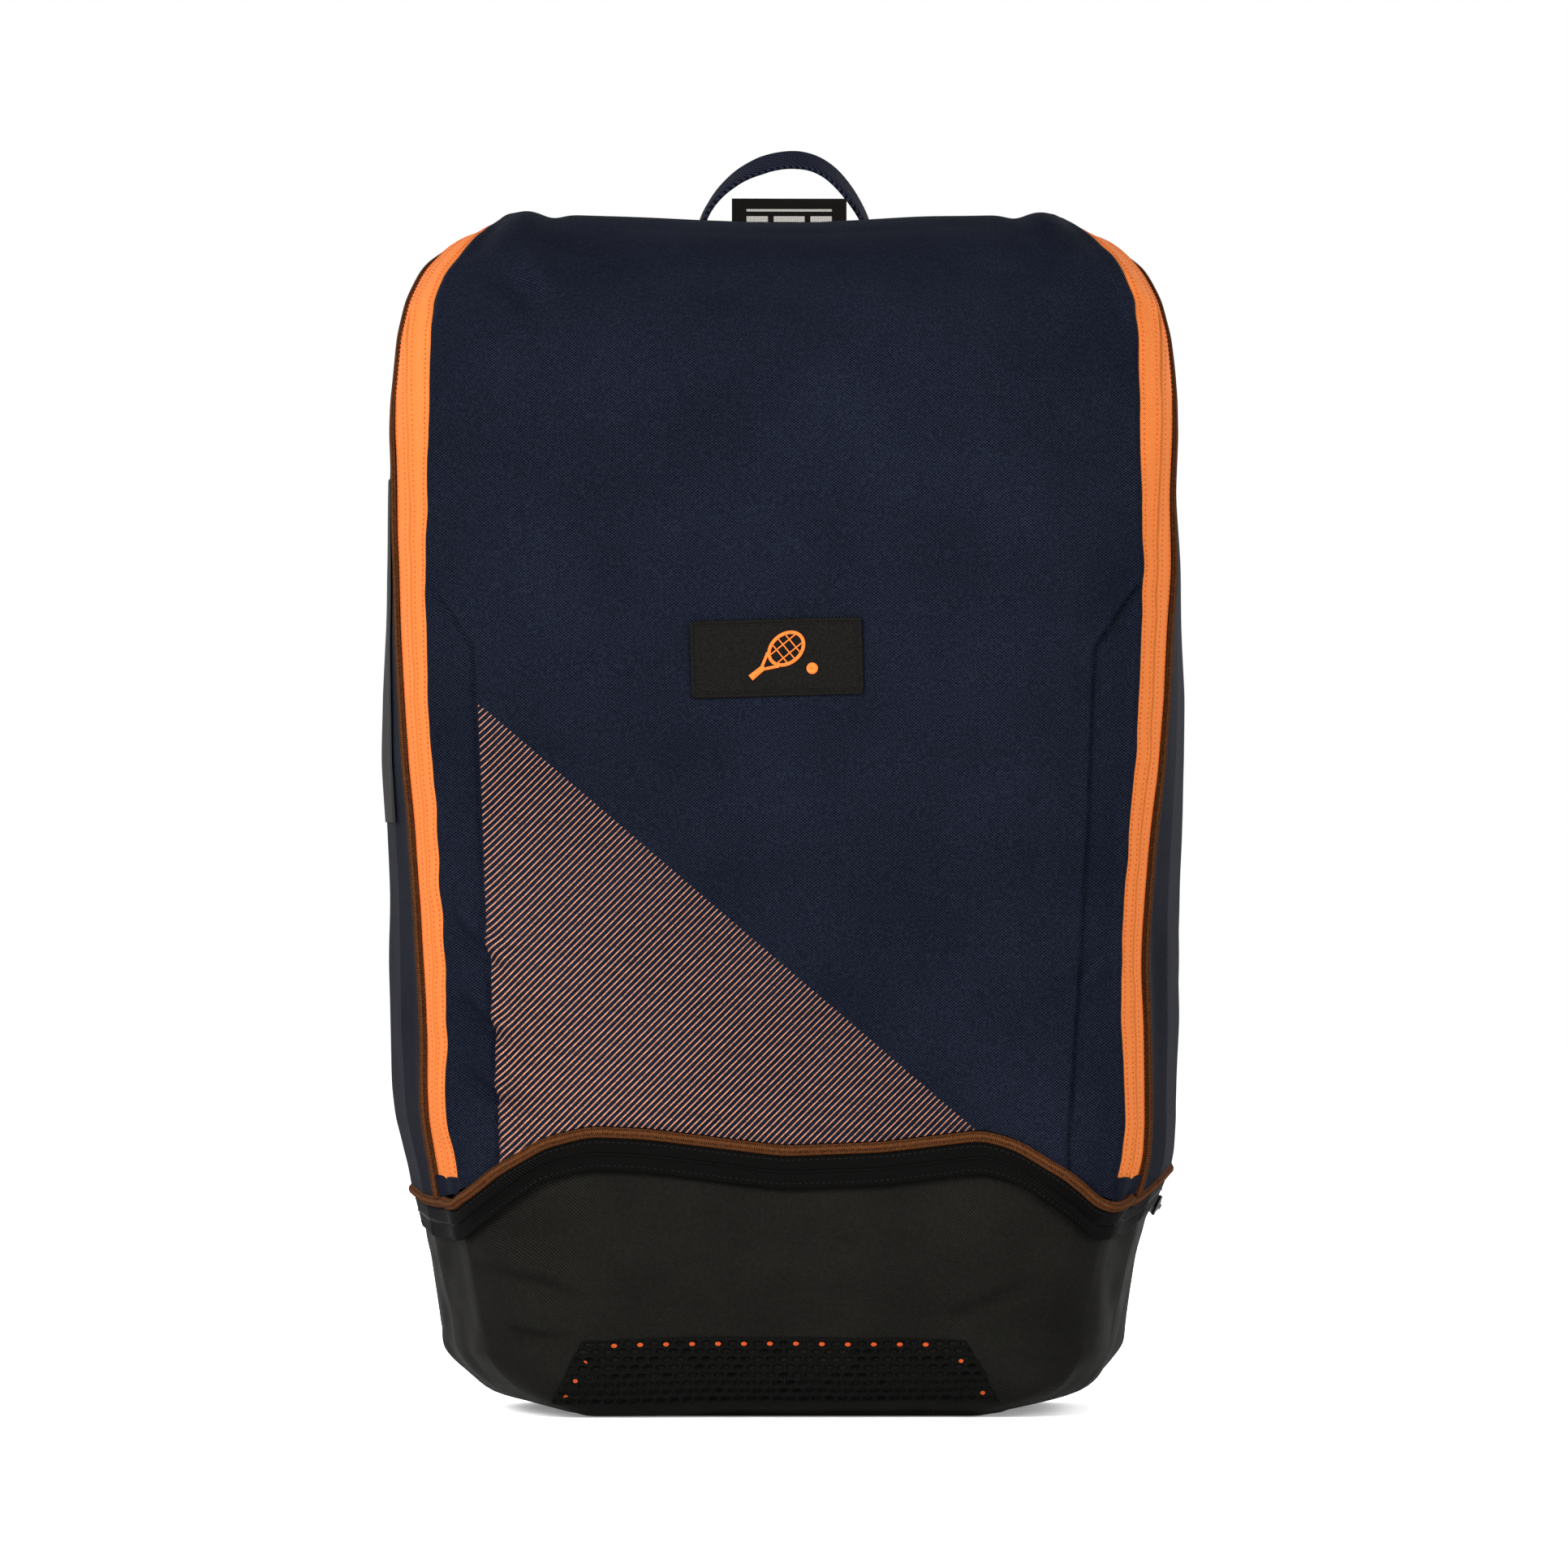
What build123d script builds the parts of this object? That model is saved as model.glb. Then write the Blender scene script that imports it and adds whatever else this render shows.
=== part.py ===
"""Racket backpack: a clamshell main compartment over a shoe compartment, with padded straps.

X runs to the right seen from the front, Y from the front to the wearer's back, Z up.
The origin lies on the ground, in the middle of the flat of the base. Lengths are in millimetres.
"""

import os
from math import cos, radians, sin

from build123d import *

os.makedirs("parts", exist_ok=True)

# Driving dimensions
HALF_WIDTH = 167.5
CREST_Z = 500.5
FRONT_Y = -111.0
BACK_Y = 88.0
WALL = 3.0
LINING = 0.8
PIPING_PROUD = 1.5
REACH = 600.0

# The clamshell zip: its chain runs up each side, back over the shoulder and across the roof
ZIP_Y = -79.0
ZIP_SHOULDER_Z = 478.0
ZIP_ROOF_Y = 28.0
ZIP_FOOT_Z = 99.0
ZIP_FRONT_RADIUS = 75.0
ZIP_BACK_RADIUS = 24.0
CHAIN_HALF = 1.2
TAPE_WIDTH = 15.0
PIPING_WIDTH = 3.5
GAP = 0.4

# The shoe compartment: its zip hangs under a wave of piping
SHOE_PIPING = 4.2
SHOE_CHAIN_TOP = 10.0
SHOE_CHAIN_FOOT = 11.6
SHOE_TAPE_FOOT = 17.8
SHOE_ZIP_END_Y = 60.0
WAVE_SIDE_Z = 107.0
WAVE_CORNER = (142.0, 79.0)
WAVE_CREST = (80.0, 116.0)
WAVE_MIDDLE_Z = 106.5

# Hinge lines of the two flaps
FLAP_FOOT_Z = 114.0
FLAP_GAP = 0.3
SHOE_FLAP_BACK_Y = -86.0
SHOE_FLAP_FOOT_Z = 12.0

# Roof, which falls a little towards the back
ROOF_CORNER = (-98.0, 507.0)
ROOF_BACK_Z = 492.0
ROOF_SLOPE = (ROOF_CORNER[1] - ROOF_BACK_Z) / (BACK_Y - ROOF_CORNER[0])

# Straps
STRAP_HALF_WIDTH = 31.0
STRAP_TOP = (52.0, 458.0)
STRAP_FOOT = (88.0, 185.0)
WEBBING = 1.6
WEBBING_HALF = 12.5
PAD_DEPTH = 12.0
COATING = 0.6

SQUARE = [(-REACH, -REACH), (REACH, -REACH), (REACH, REACH), (-REACH, REACH)]
FRONT_HALF = [(130.7, 0), (160, 95), (166.5, 160), (HALF_WIDTH, 280), (164.5, CREST_Z)]
FRONT_RADII = [55, 120, 300, 600, 63]
PLAN_HALF = [(128, FRONT_Y + 1), (149, -93), (159, -64), (HALF_WIDTH, -10), (162, BACK_Y)]
PLAN_RADII = [30, 12, 25, 120, 25]
SIDE_OUTLINE = [
    (-90, 0),
    (-105, 75),
    (-108, 115),
    (FRONT_Y, 230),
    (-105, 370),
    ROOF_CORNER,
    (BACK_Y, ROOF_BACK_Z),
    (BACK_Y, 0),
]
SIDE_RADII = [30, 80, 200, 400, 300, 95, 14, 28]


def save(part, name):
    """Labels a finished piece and writes it."""
    part.label = name
    export_step(part, f"parts/{name}.step")


def roof_z(y):
    """Height of the roof's outside at a distance y from the middle."""
    return ROOF_CORNER[1] - ROOF_SLOPE * (y - ROOF_CORNER[0])


def filled_outline(points, radii):
    """Fills a closed outline with rounded corners in the sketch being drawn."""
    with BuildLine() as line:
        FilletPolyline(*points, radius=radii, close=True)
    make_face(line.edges())


def mirrored(half, radii):
    """Closes a right-hand half outline with its left-hand copy."""
    return half + [(-x, v) for x, v in reversed(half)], radii + radii[::-1]


def bag_form(proud):
    """The bag's outside, swollen by proud: front, side and plan outlines where all three meet."""
    with BuildPart() as form:
        with BuildSketch(Plane.XZ.offset(-REACH)) as front:
            filled_outline(*mirrored(FRONT_HALF, FRONT_RADII))
            offset(amount=proud, mode=Mode.REPLACE)
        extrude(amount=2 * REACH)
        with BuildSketch(Plane.YZ.offset(-REACH)) as side:
            filled_outline(SIDE_OUTLINE, SIDE_RADII)
            offset(amount=proud, mode=Mode.REPLACE)
        extrude(amount=2 * REACH, mode=Mode.INTERSECT)
        with BuildSketch(Plane.XY.offset(-REACH)) as plan:
            filled_outline(*mirrored(PLAN_HALF, PLAN_RADII))
            offset(amount=proud, mode=Mode.REPLACE)
        extrude(amount=2 * REACH, mode=Mode.INTERSECT)
    return form.part


def prism(plane, points, radii=0, near=-REACH, far=REACH):
    """A block of one outline between two distances along the plane's normal."""
    if radii == 0:
        radii = [0] * len(points)
    with BuildPart() as block:
        with BuildSketch(plane.offset(near)):
            filled_outline(points, radii)
        extrude(amount=far - near)
    return block.part


def everything_beyond(axis, start):
    """The whole space past a distance along one axis."""
    if axis == "x":
        return prism(Plane.YZ, SQUARE, near=start)
    if axis == "y":
        return prism(Plane.XZ, SQUARE, far=-start)
    return prism(Plane.XY, SQUARE, near=start)


def zip_line(shift, foot):
    """The clamshell zip's line seen from the side, moved shift towards the back, and its radii."""
    front_y = ZIP_Y + shift
    shoulder_z = ZIP_SHOULDER_Z - shift
    roof_y = ZIP_ROOF_Y + shift
    points = [(front_y, foot), (front_y, shoulder_z), (roof_y, shoulder_z), (roof_y, REACH)]
    return points, [0, ZIP_FRONT_RADIUS - shift, ZIP_BACK_RADIUS + shift, 0]


def zip_band(near, far, foot):
    """The space between two lines that follow the clamshell zip."""
    near_points, near_radii = zip_line(near, foot)
    far_points, far_radii = zip_line(far, foot)
    return prism(Plane.YZ, near_points + far_points[::-1], near_radii + far_radii[::-1])


def wave_line(drop):
    """The wave of the base piping seen from the front, lowered by drop, and its radii."""
    right = [WAVE_CREST, WAVE_CORNER, (168, WAVE_SIDE_Z), (REACH / 2, WAVE_SIDE_Z)]
    line = [(-x, z) for x, z in reversed(right)] + [(0, WAVE_MIDDLE_Z)] + right
    return [(x, z - drop) for x, z in line], [0, 15, 16, 55, 200, 55, 16, 15, 0]


def wave_band(top, foot):
    """The space between two depths below the wave."""
    top_points, top_radii = wave_line(top)
    foot_points, foot_radii = wave_line(foot)
    return prism(Plane.XZ, top_points + foot_points[::-1], top_radii + foot_radii[::-1])


def wave_side(drop, z_end):
    """Everything between the wave, lowered by drop, and a level z_end."""
    points, radii = wave_line(drop)
    ends = [(points[-1][0], z_end), (points[0][0], z_end)]
    return prism(Plane.XZ, points + ends, radii + [0, 0])


# Layers that the panels are cut from, from the outside in
outside_form = bag_form(0)
wall_form = bag_form(-WALL)
proud_form = bag_form(PIPING_PROUD)
lining_form = bag_form(-WALL - LINING)

with BuildPart() as wall_layer:
    add(outside_form)
    add(wall_form, mode=Mode.SUBTRACT)

with BuildPart() as piping_layer:
    add(proud_form)
    add(wall_form, mode=Mode.SUBTRACT)

with BuildPart() as lining_layer:
    add(wall_form)
    add(lining_form, mode=Mode.SUBTRACT)

# Zones of the panels
flap_shift = -TAPE_WIDTH - CHAIN_HALF
flap_points, flap_radii = zip_line(flap_shift, FLAP_FOOT_Z + FLAP_GAP)
flap_corners = [(-REACH, REACH), (-REACH, FLAP_FOOT_Z + FLAP_GAP)]
flap_zone = prism(Plane.YZ, flap_points + flap_corners, flap_radii + [0, 0])

hinge_band_zone = prism(
    Plane.YZ,
    [
        (-REACH, 0),
        (-REACH, FLAP_FOOT_Z),
        (ZIP_Y + flap_shift, FLAP_FOOT_Z),
        (ZIP_Y + flap_shift, ZIP_FOOT_Z),
        (ZIP_Y, ZIP_FOOT_Z),
        (ZIP_Y, 0),
    ],
)

side_shift = CHAIN_HALF + TAPE_WIDTH + PIPING_WIDTH
side_points, side_radii = zip_line(side_shift, ZIP_FOOT_Z)
side_corners = [(REACH, REACH), (REACH, 0), (ZIP_Y, 0), (ZIP_Y, ZIP_FOOT_Z)]
body_zone = prism(Plane.YZ, side_points + side_corners, side_radii + [0] * 4)

right_gusset = [(REACH / 2, 352), (151, 352), (128, 318), (125.5, 250), (117, 100), (REACH / 2, 100)]
left_gusset = [(-x, z) for x, z in right_gusset]
gusset_zones = {
    "left": prism(Plane.XZ, left_gusset),
    "right": prism(Plane.XZ, right_gusset),
}

above_wave = wave_side(0, REACH)
under_shoe_tape = wave_side(SHOE_TAPE_FOOT, -REACH)
under_shoe_piping = wave_side(SHOE_PIPING, -REACH)
front_of_shoe_flap = prism(Plane.XZ, SQUARE, near=-SHOE_FLAP_BACK_Y, far=REACH)
behind_shoe_zip = everything_beyond("y", SHOE_ZIP_END_Y)
back_zone = prism(
    Plane.XZ,
    [(-137, 22), (137, 22), (137, 470), (-137, 470)],
    [20, 20, 30, 30],
    near=-REACH,
    far=-BACK_Y + WALL,
)
roof_zone = prism(Plane.XZ, [(-100, 470), (100, 470), (100, REACH), (-100, REACH)])
right_half = everything_beyond("x", 0)
vent_outline = [(-100, SHOE_FLAP_FOOT_Z + GAP), (91, SHOE_FLAP_FOOT_Z + GAP), (75, 28), (-83, 30)]
vent_zone = prism(Plane.XZ, vent_outline, near=0, far=REACH)

# Front flap: one panel over the front and the roof, with a gusset let in on each side
with BuildPart() as front_panel:
    add(wall_layer.part)
    add(flap_zone, mode=Mode.INTERSECT)
    add(gusset_zones["left"], mode=Mode.SUBTRACT)
    add(gusset_zones["right"], mode=Mode.SUBTRACT)
save(front_panel.part, "front_panel")

for side_name, gusset_zone in gusset_zones.items():
    with BuildPart() as front_gusset:
        add(wall_layer.part)
        add(flap_zone, mode=Mode.INTERSECT)
        add(gusset_zone, mode=Mode.INTERSECT)
    save(front_gusset.part, f"front_gusset_{side_name}")

with BuildPart() as front_lining:
    add(lining_layer.part)
    add(flap_zone, mode=Mode.INTERSECT)
save(front_lining.part, "front_lining")

with BuildPart() as main_zip_front_tape:
    add(wall_layer.part)
    add(zip_band(flap_shift, -CHAIN_HALF - GAP, FLAP_FOOT_Z + FLAP_GAP), mode=Mode.INTERSECT)
save(main_zip_front_tape.part, "main_zip_front_tape")

# Rubber patch on the front panel, and the racket sign moulded on it
PATCH_SIZE = (71, 32)
PATCH_THICK = 1.6
PATCH_TURN = 1.5
EMBLEM_THICK = 0.6
patch_z = 314
patch_lean = (-105 - FRONT_Y) / (370 - 230)
patch_y = FRONT_Y + patch_lean * (patch_z - 230)
patch_plane = Plane(
    origin=(-3, patch_y, patch_z),
    x_dir=(cos(radians(PATCH_TURN)), patch_lean * sin(radians(PATCH_TURN)), sin(radians(PATCH_TURN))),
    z_dir=(0, -1, patch_lean),
)

with BuildPart() as rubber_patch:
    with BuildSketch(patch_plane):
        RectangleRounded(*PATCH_SIZE, 5)
    extrude(amount=PATCH_THICK)
save(rubber_patch.part, "rubber_patch")

with BuildPart() as patch_emblem:
    with BuildSketch(patch_plane.offset(PATCH_THICK)):
        with Locations((-8, 0)):
            Ellipse(12, 9)
            Ellipse(10, 7, mode=Mode.SUBTRACT)
        with Locations((11, 0)):
            Rectangle(16, 2.4)
        with Locations((24, 5)):
            Circle(3)
    extrude(amount=EMBLEM_THICK)
save(patch_emblem.part, "patch_emblem")

# Fixed front band that the flap folds from
with BuildPart() as front_hinge_band:
    add(wall_layer.part)
    add(hinge_band_zone, mode=Mode.INTERSECT)
    add(above_wave, mode=Mode.INTERSECT)
save(front_hinge_band.part, "front_hinge_band")

with BuildPart() as main_zip_lower_ends:
    add(wall_layer.part)
    with BuildSketch(Plane.YZ.offset(-REACH)):
        with Locations((ZIP_Y + flap_shift, ZIP_FOOT_Z)):
            Rectangle(TAPE_WIDTH, FLAP_FOOT_Z - ZIP_FOOT_Z, align=(Align.MIN, Align.MIN))
    extrude(amount=2 * REACH, mode=Mode.INTERSECT)
save(main_zip_lower_ends.part, "main_zip_lower_ends")

with BuildPart() as main_zip_coil:
    add(wall_layer.part)
    add(zip_band(-CHAIN_HALF, CHAIN_HALF, ZIP_FOOT_Z), mode=Mode.INTERSECT)
save(main_zip_coil.part, "main_zip_coil")

with BuildPart() as main_zip_rear_tape:
    add(wall_layer.part)
    add(zip_band(CHAIN_HALF, CHAIN_HALF + TAPE_WIDTH, ZIP_FOOT_Z), mode=Mode.INTERSECT)
save(main_zip_rear_tape.part, "main_zip_rear_tape")

with BuildPart() as main_zip_piping:
    add(piping_layer.part)
    add(zip_band(CHAIN_HALF + TAPE_WIDTH, side_shift, ZIP_FOOT_Z), mode=Mode.INTERSECT)
    add(above_wave, mode=Mode.INTERSECT)
save(main_zip_piping.part, "main_zip_piping")

# Body panels behind the zip
for side_name, half_mode in (("left", Mode.SUBTRACT), ("right", Mode.INTERSECT)):
    with BuildPart() as side_panel:
        add(wall_layer.part)
        add(body_zone, mode=Mode.INTERSECT)
        add(above_wave, mode=Mode.INTERSECT)
        add(back_zone, mode=Mode.SUBTRACT)
        add(roof_zone, mode=Mode.SUBTRACT)
        add(right_half, mode=half_mode)
    save(side_panel.part, f"side_panel_{side_name}")

with BuildPart() as roof_panel:
    add(wall_layer.part)
    add(body_zone, mode=Mode.INTERSECT)
    add(roof_zone, mode=Mode.INTERSECT)
save(roof_panel.part, "roof_panel")

with BuildPart() as back_panel:
    add(wall_layer.part)
    add(back_zone, mode=Mode.INTERSECT)
save(back_panel.part, "back_panel")

with BuildPart() as body_lining:
    add(lining_layer.part)
    add(body_zone, mode=Mode.INTERSECT)
    add(above_wave, mode=Mode.INTERSECT)
save(body_lining.part, "body_lining")

# Inside the main compartment
FLOOR_Z = 100.0
FLOOR_THICK = 2.5
floor_inset = WALL + LINING + 0.4
with BuildPart() as divider_floor:
    add(bag_form(-floor_inset))
    with BuildSketch(Plane.XY.offset(FLOOR_Z)):
        Rectangle(2 * REACH, 2 * REACH)
    extrude(amount=FLOOR_THICK, mode=Mode.INTERSECT)
save(divider_floor.part, "divider_floor")

floor_top = FLOOR_Z + FLOOR_THICK
divider_outline = [(-148, floor_top), (148, floor_top), (148, 430), (-148, 430)]
with BuildPart() as racket_divider:
    with BuildSketch(Plane.XZ.offset(-56)):
        filled_outline(divider_outline, [0, 0, 60, 60])
    extrude(amount=5)
save(racket_divider.part, "racket_divider")

with BuildPart() as back_foam_board:
    with BuildSketch(Plane.XZ.offset(-BACK_Y + WALL + LINING)):
        filled_outline([(-130, 108), (130, 108), (130, 455), (-130, 455)], [20, 20, 40, 40])
    extrude(amount=6)
save(back_foam_board.part, "back_foam_board")

# Base with the shoe compartment
with BuildPart() as base_piping:
    add(piping_layer.part)
    add(wave_band(0, SHOE_PIPING), mode=Mode.INTERSECT)
    add(back_zone, mode=Mode.SUBTRACT)
save(base_piping.part, "base_piping")

with BuildPart() as shoe_zip_upper_tape:
    add(wall_layer.part)
    add(wave_band(SHOE_PIPING, SHOE_CHAIN_TOP), mode=Mode.INTERSECT)
    add(behind_shoe_zip, mode=Mode.SUBTRACT)
save(shoe_zip_upper_tape.part, "shoe_zip_upper_tape")

with BuildPart() as shoe_zip_coil:
    add(wall_layer.part)
    add(wave_band(SHOE_CHAIN_TOP, SHOE_CHAIN_FOOT), mode=Mode.INTERSECT)
    add(behind_shoe_zip, mode=Mode.SUBTRACT)
save(shoe_zip_coil.part, "shoe_zip_coil")

shoe_lower_tape = wave_band(SHOE_CHAIN_FOOT + GAP, SHOE_TAPE_FOOT)
with BuildPart() as shoe_zip_front_tape:
    add(wall_layer.part)
    add(shoe_lower_tape, mode=Mode.INTERSECT)
    add(front_of_shoe_flap, mode=Mode.INTERSECT)
save(shoe_zip_front_tape.part, "shoe_zip_front_tape")

behind_shoe_flap = everything_beyond("y", SHOE_FLAP_BACK_Y + GAP)
with BuildPart() as shoe_zip_side_tape:
    add(wall_layer.part)
    add(shoe_lower_tape, mode=Mode.INTERSECT)
    add(behind_shoe_flap, mode=Mode.INTERSECT)
    add(behind_shoe_zip, mode=Mode.SUBTRACT)
save(shoe_zip_side_tape.part, "shoe_zip_side_tape")

above_flap_foot = everything_beyond("z", SHOE_FLAP_FOOT_Z + GAP)
with BuildPart() as shoe_flap_wall:
    add(wall_layer.part)
    add(under_shoe_tape, mode=Mode.INTERSECT)
    add(front_of_shoe_flap, mode=Mode.INTERSECT)
    add(above_flap_foot, mode=Mode.INTERSECT)
    add(vent_zone, mode=Mode.SUBTRACT)
save(shoe_flap_wall.part, "shoe_flap_wall")

with BuildPart() as vent_mesh:
    add(wall_layer.part)
    add(vent_zone, mode=Mode.INTERSECT)
    add(above_flap_foot, mode=Mode.INTERSECT)
    add(front_of_shoe_flap, mode=Mode.INTERSECT)
save(vent_mesh.part, "vent_mesh")

base_stair = [
    (-REACH, -REACH),
    (REACH, -REACH),
    (REACH, REACH),
    (SHOE_FLAP_BACK_Y + GAP, REACH),
    (SHOE_FLAP_BACK_Y + GAP, SHOE_FLAP_FOOT_Z),
    (-REACH, SHOE_FLAP_FOOT_Z),
]
base_stair_zone = prism(Plane.YZ, base_stair)
with BuildPart() as base_shell:
    add(wall_layer.part)
    add(base_stair_zone, mode=Mode.INTERSECT)
    add(under_shoe_piping, mode=Mode.INTERSECT)
    add(shoe_zip_upper_tape.part, mode=Mode.SUBTRACT)
    add(shoe_zip_coil.part, mode=Mode.SUBTRACT)
    add(wave_band(SHOE_CHAIN_FOOT, SHOE_TAPE_FOOT) - behind_shoe_zip, mode=Mode.SUBTRACT)
    add(back_zone, mode=Mode.SUBTRACT)
save(base_shell.part, "base_shell")

with BuildPart() as base_board:
    with BuildSketch(Plane.XY.offset(WALL)):
        RectangleRounded(150, 110, 20)
    extrude(amount=2)
save(base_board.part, "base_board")

# Woven tag behind the crest
TAG_Y = 51.0
TAG_TOP_Z = 513.0
with BuildPart() as woven_tag:
    with BuildSketch(Plane.XY.offset(roof_z(TAG_Y) + 0.1)):
        with Locations((2.2, TAG_Y)):
            Rectangle(48.5, 0.9)
    extrude(amount=TAG_TOP_Z - roof_z(TAG_Y))
save(woven_tag.part, "woven_tag")

# Hang loop: an arch of webbing over two sewn feet, round at its ends so that it can swing
LOOP_Y = 66.0
LOOP_HALF_DEPTH = 7.5
LOOP_HALF_SPAN = 36.0
LOOP_TOP_Z = 531.0
LOOP_THICK = 3.0
FOOT_THICK = 2.0
LOOP_SHOULDER = 10.0
loop_foot_z = roof_z(LOOP_Y - LOOP_HALF_DEPTH) + FOOT_THICK + GAP
roof_plane = Plane(origin=(0, LOOP_Y, roof_z(LOOP_Y)), x_dir=(1, 0, 0), z_dir=(0, ROOF_SLOPE, 1))
with BuildPart() as hang_loop_feet:
    with BuildSketch(roof_plane):
        with Locations((-LOOP_HALF_SPAN, 0), (LOOP_HALF_SPAN, 0)):
            Rectangle(22, 2 * LOOP_HALF_DEPTH)
    extrude(amount=FOOT_THICK)
save(hang_loop_feet.part, "hang_loop_feet")


def arch_points(inset):
    """Points of the loop's arch, drawn in by inset from its outer face."""
    foot_x = LOOP_HALF_SPAN - inset
    shoulder_x = 0.72 * LOOP_HALF_SPAN - 0.8 * inset
    shoulder_z = LOOP_TOP_Z - LOOP_SHOULDER - 0.8 * inset
    crown = (0, LOOP_TOP_Z - inset)
    left = [(-foot_x, loop_foot_z), (-shoulder_x, shoulder_z)]
    right = [(shoulder_x, shoulder_z), (foot_x, loop_foot_z)]
    return left + [crown] + right


with BuildPart() as hang_loop:
    with BuildSketch(Plane.XZ.offset(-LOOP_Y - LOOP_HALF_DEPTH)):
        with BuildLine():
            outer_arch = Spline(*arch_points(0))
            inner_arch = Spline(*arch_points(LOOP_THICK))
            Line(outer_arch @ 0, inner_arch @ 0)
            Line(outer_arch @ 1, inner_arch @ 1)
        make_face()
    extrude(amount=2 * LOOP_HALF_DEPTH)
    with BuildSketch(Plane.YZ.offset(-LOOP_HALF_SPAN)):
        with Locations((LOOP_Y, loop_foot_z)):
            Rectangle(2 * LOOP_HALF_DEPTH, 60, align=(Align.CENTER, Align.MIN))
        rounded = [v for v in vertices() if v.Z < loop_foot_z + 1]
        fillet(rounded, radius=LOOP_HALF_DEPTH - 0.1)
    extrude(amount=2 * LOOP_HALF_SPAN, mode=Mode.INTERSECT)
save(hang_loop.part, "hang_loop")

# Two sliders on the roof run of the main zip, which meet in the middle
SLIDER_LENGTH = 12.0
SLIDER_WIDTH = 9.0
SLIDER_THICK = 3.0
PULLER_LENGTH = 26.0
PULLER_WIDTH = 7.0
PULLER_THICK = 1.4
slider_z = roof_z(ZIP_ROOF_Y - SLIDER_WIDTH / 2) + GAP
puller_z = slider_z + SLIDER_THICK + GAP
for side_name, side in (("left", -1), ("right", 1)):
    centre_x = side * (SLIDER_LENGTH / 2 + 1)
    with BuildPart() as main_slider:
        with BuildSketch(Plane.XY.offset(slider_z)):
            with Locations((centre_x, ZIP_ROOF_Y)):
                RectangleRounded(SLIDER_LENGTH, SLIDER_WIDTH, 2)
        extrude(amount=SLIDER_THICK)
    save(main_slider.part, f"main_slider_{side_name}")

    with BuildPart() as main_puller:
        with BuildSketch(Plane.XY.offset(puller_z)):
            with Locations((centre_x + side * PULLER_LENGTH / 2, ZIP_ROOF_Y)):
                RectangleRounded(PULLER_LENGTH, PULLER_WIDTH, 2)
        extrude(amount=PULLER_THICK)
    save(main_puller.part, f"main_puller_{side_name}")

# Slider of the shoe zip, on the right side at the zip's rear end
SHOE_SLIDER_Y = 50.0
SHOE_SLIT_X = 157.0
side_lean = (FRONT_HALF[1][0] - FRONT_HALF[0][0]) / FRONT_HALF[1][1]
shoe_slit_z = FRONT_HALF[1][1] - (FRONT_HALF[1][0] - SHOE_SLIT_X) / side_lean
shoe_plane = Plane(
    origin=(SHOE_SLIT_X + GAP + 0.1, SHOE_SLIDER_Y, shoe_slit_z),
    x_dir=(0, 1, 0),
    z_dir=(1, 0, -side_lean),
)
SHOE_SLIDER_THICK = 2.2
with BuildPart() as shoe_slider:
    with BuildSketch(shoe_plane):
        RectangleRounded(SLIDER_LENGTH, SLIDER_WIDTH, 2)
    extrude(amount=SHOE_SLIDER_THICK)
save(shoe_slider.part, "shoe_slider")

with BuildPart() as shoe_puller:
    with BuildSketch(shoe_plane.offset(SHOE_SLIDER_THICK + GAP)):
        with Locations((PULLER_LENGTH / 2, 0)):
            RectangleRounded(PULLER_LENGTH, PULLER_WIDTH - 1, 2)
    extrude(amount=1.2)
save(shoe_puller.part, "shoe_puller")

# Coated panel on the left side
coated_outline = [(-46, 395), (40, 395), (62, 372), (62, 262), (40, 240), (-46, 240)]
with BuildPart() as side_coated_panel:
    add(bag_form(COATING))
    add(outside_form, mode=Mode.SUBTRACT)
    add(prism(Plane.YZ, coated_outline, [12] * 6, far=0), mode=Mode.INTERSECT)
save(side_coated_panel.part, "side_coated_panel")

# Back padding
for side_name, side in (("left", -1), ("right", 1)):
    pad_outline = [(side * 12, 175), (side * 108, 175), (side * 108, 416), (side * 12, 416)]
    with BuildPart() as back_pad:
        with BuildSketch(Plane.XZ.offset(-BACK_Y - PAD_DEPTH)):
            filled_outline(pad_outline, [12, 24, 40, 12])
        extrude(amount=PAD_DEPTH)
    save(back_pad.part, f"back_pad_{side_name}")

with BuildPart() as lumbar_pad:
    with BuildSketch(Plane.XZ.offset(-BACK_Y - PAD_DEPTH)):
        with Locations((0, 108)):
            RectangleRounded(178, 96, 24)
    extrude(amount=PAD_DEPTH)
save(lumbar_pad.part, "lumbar_pad")

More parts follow.
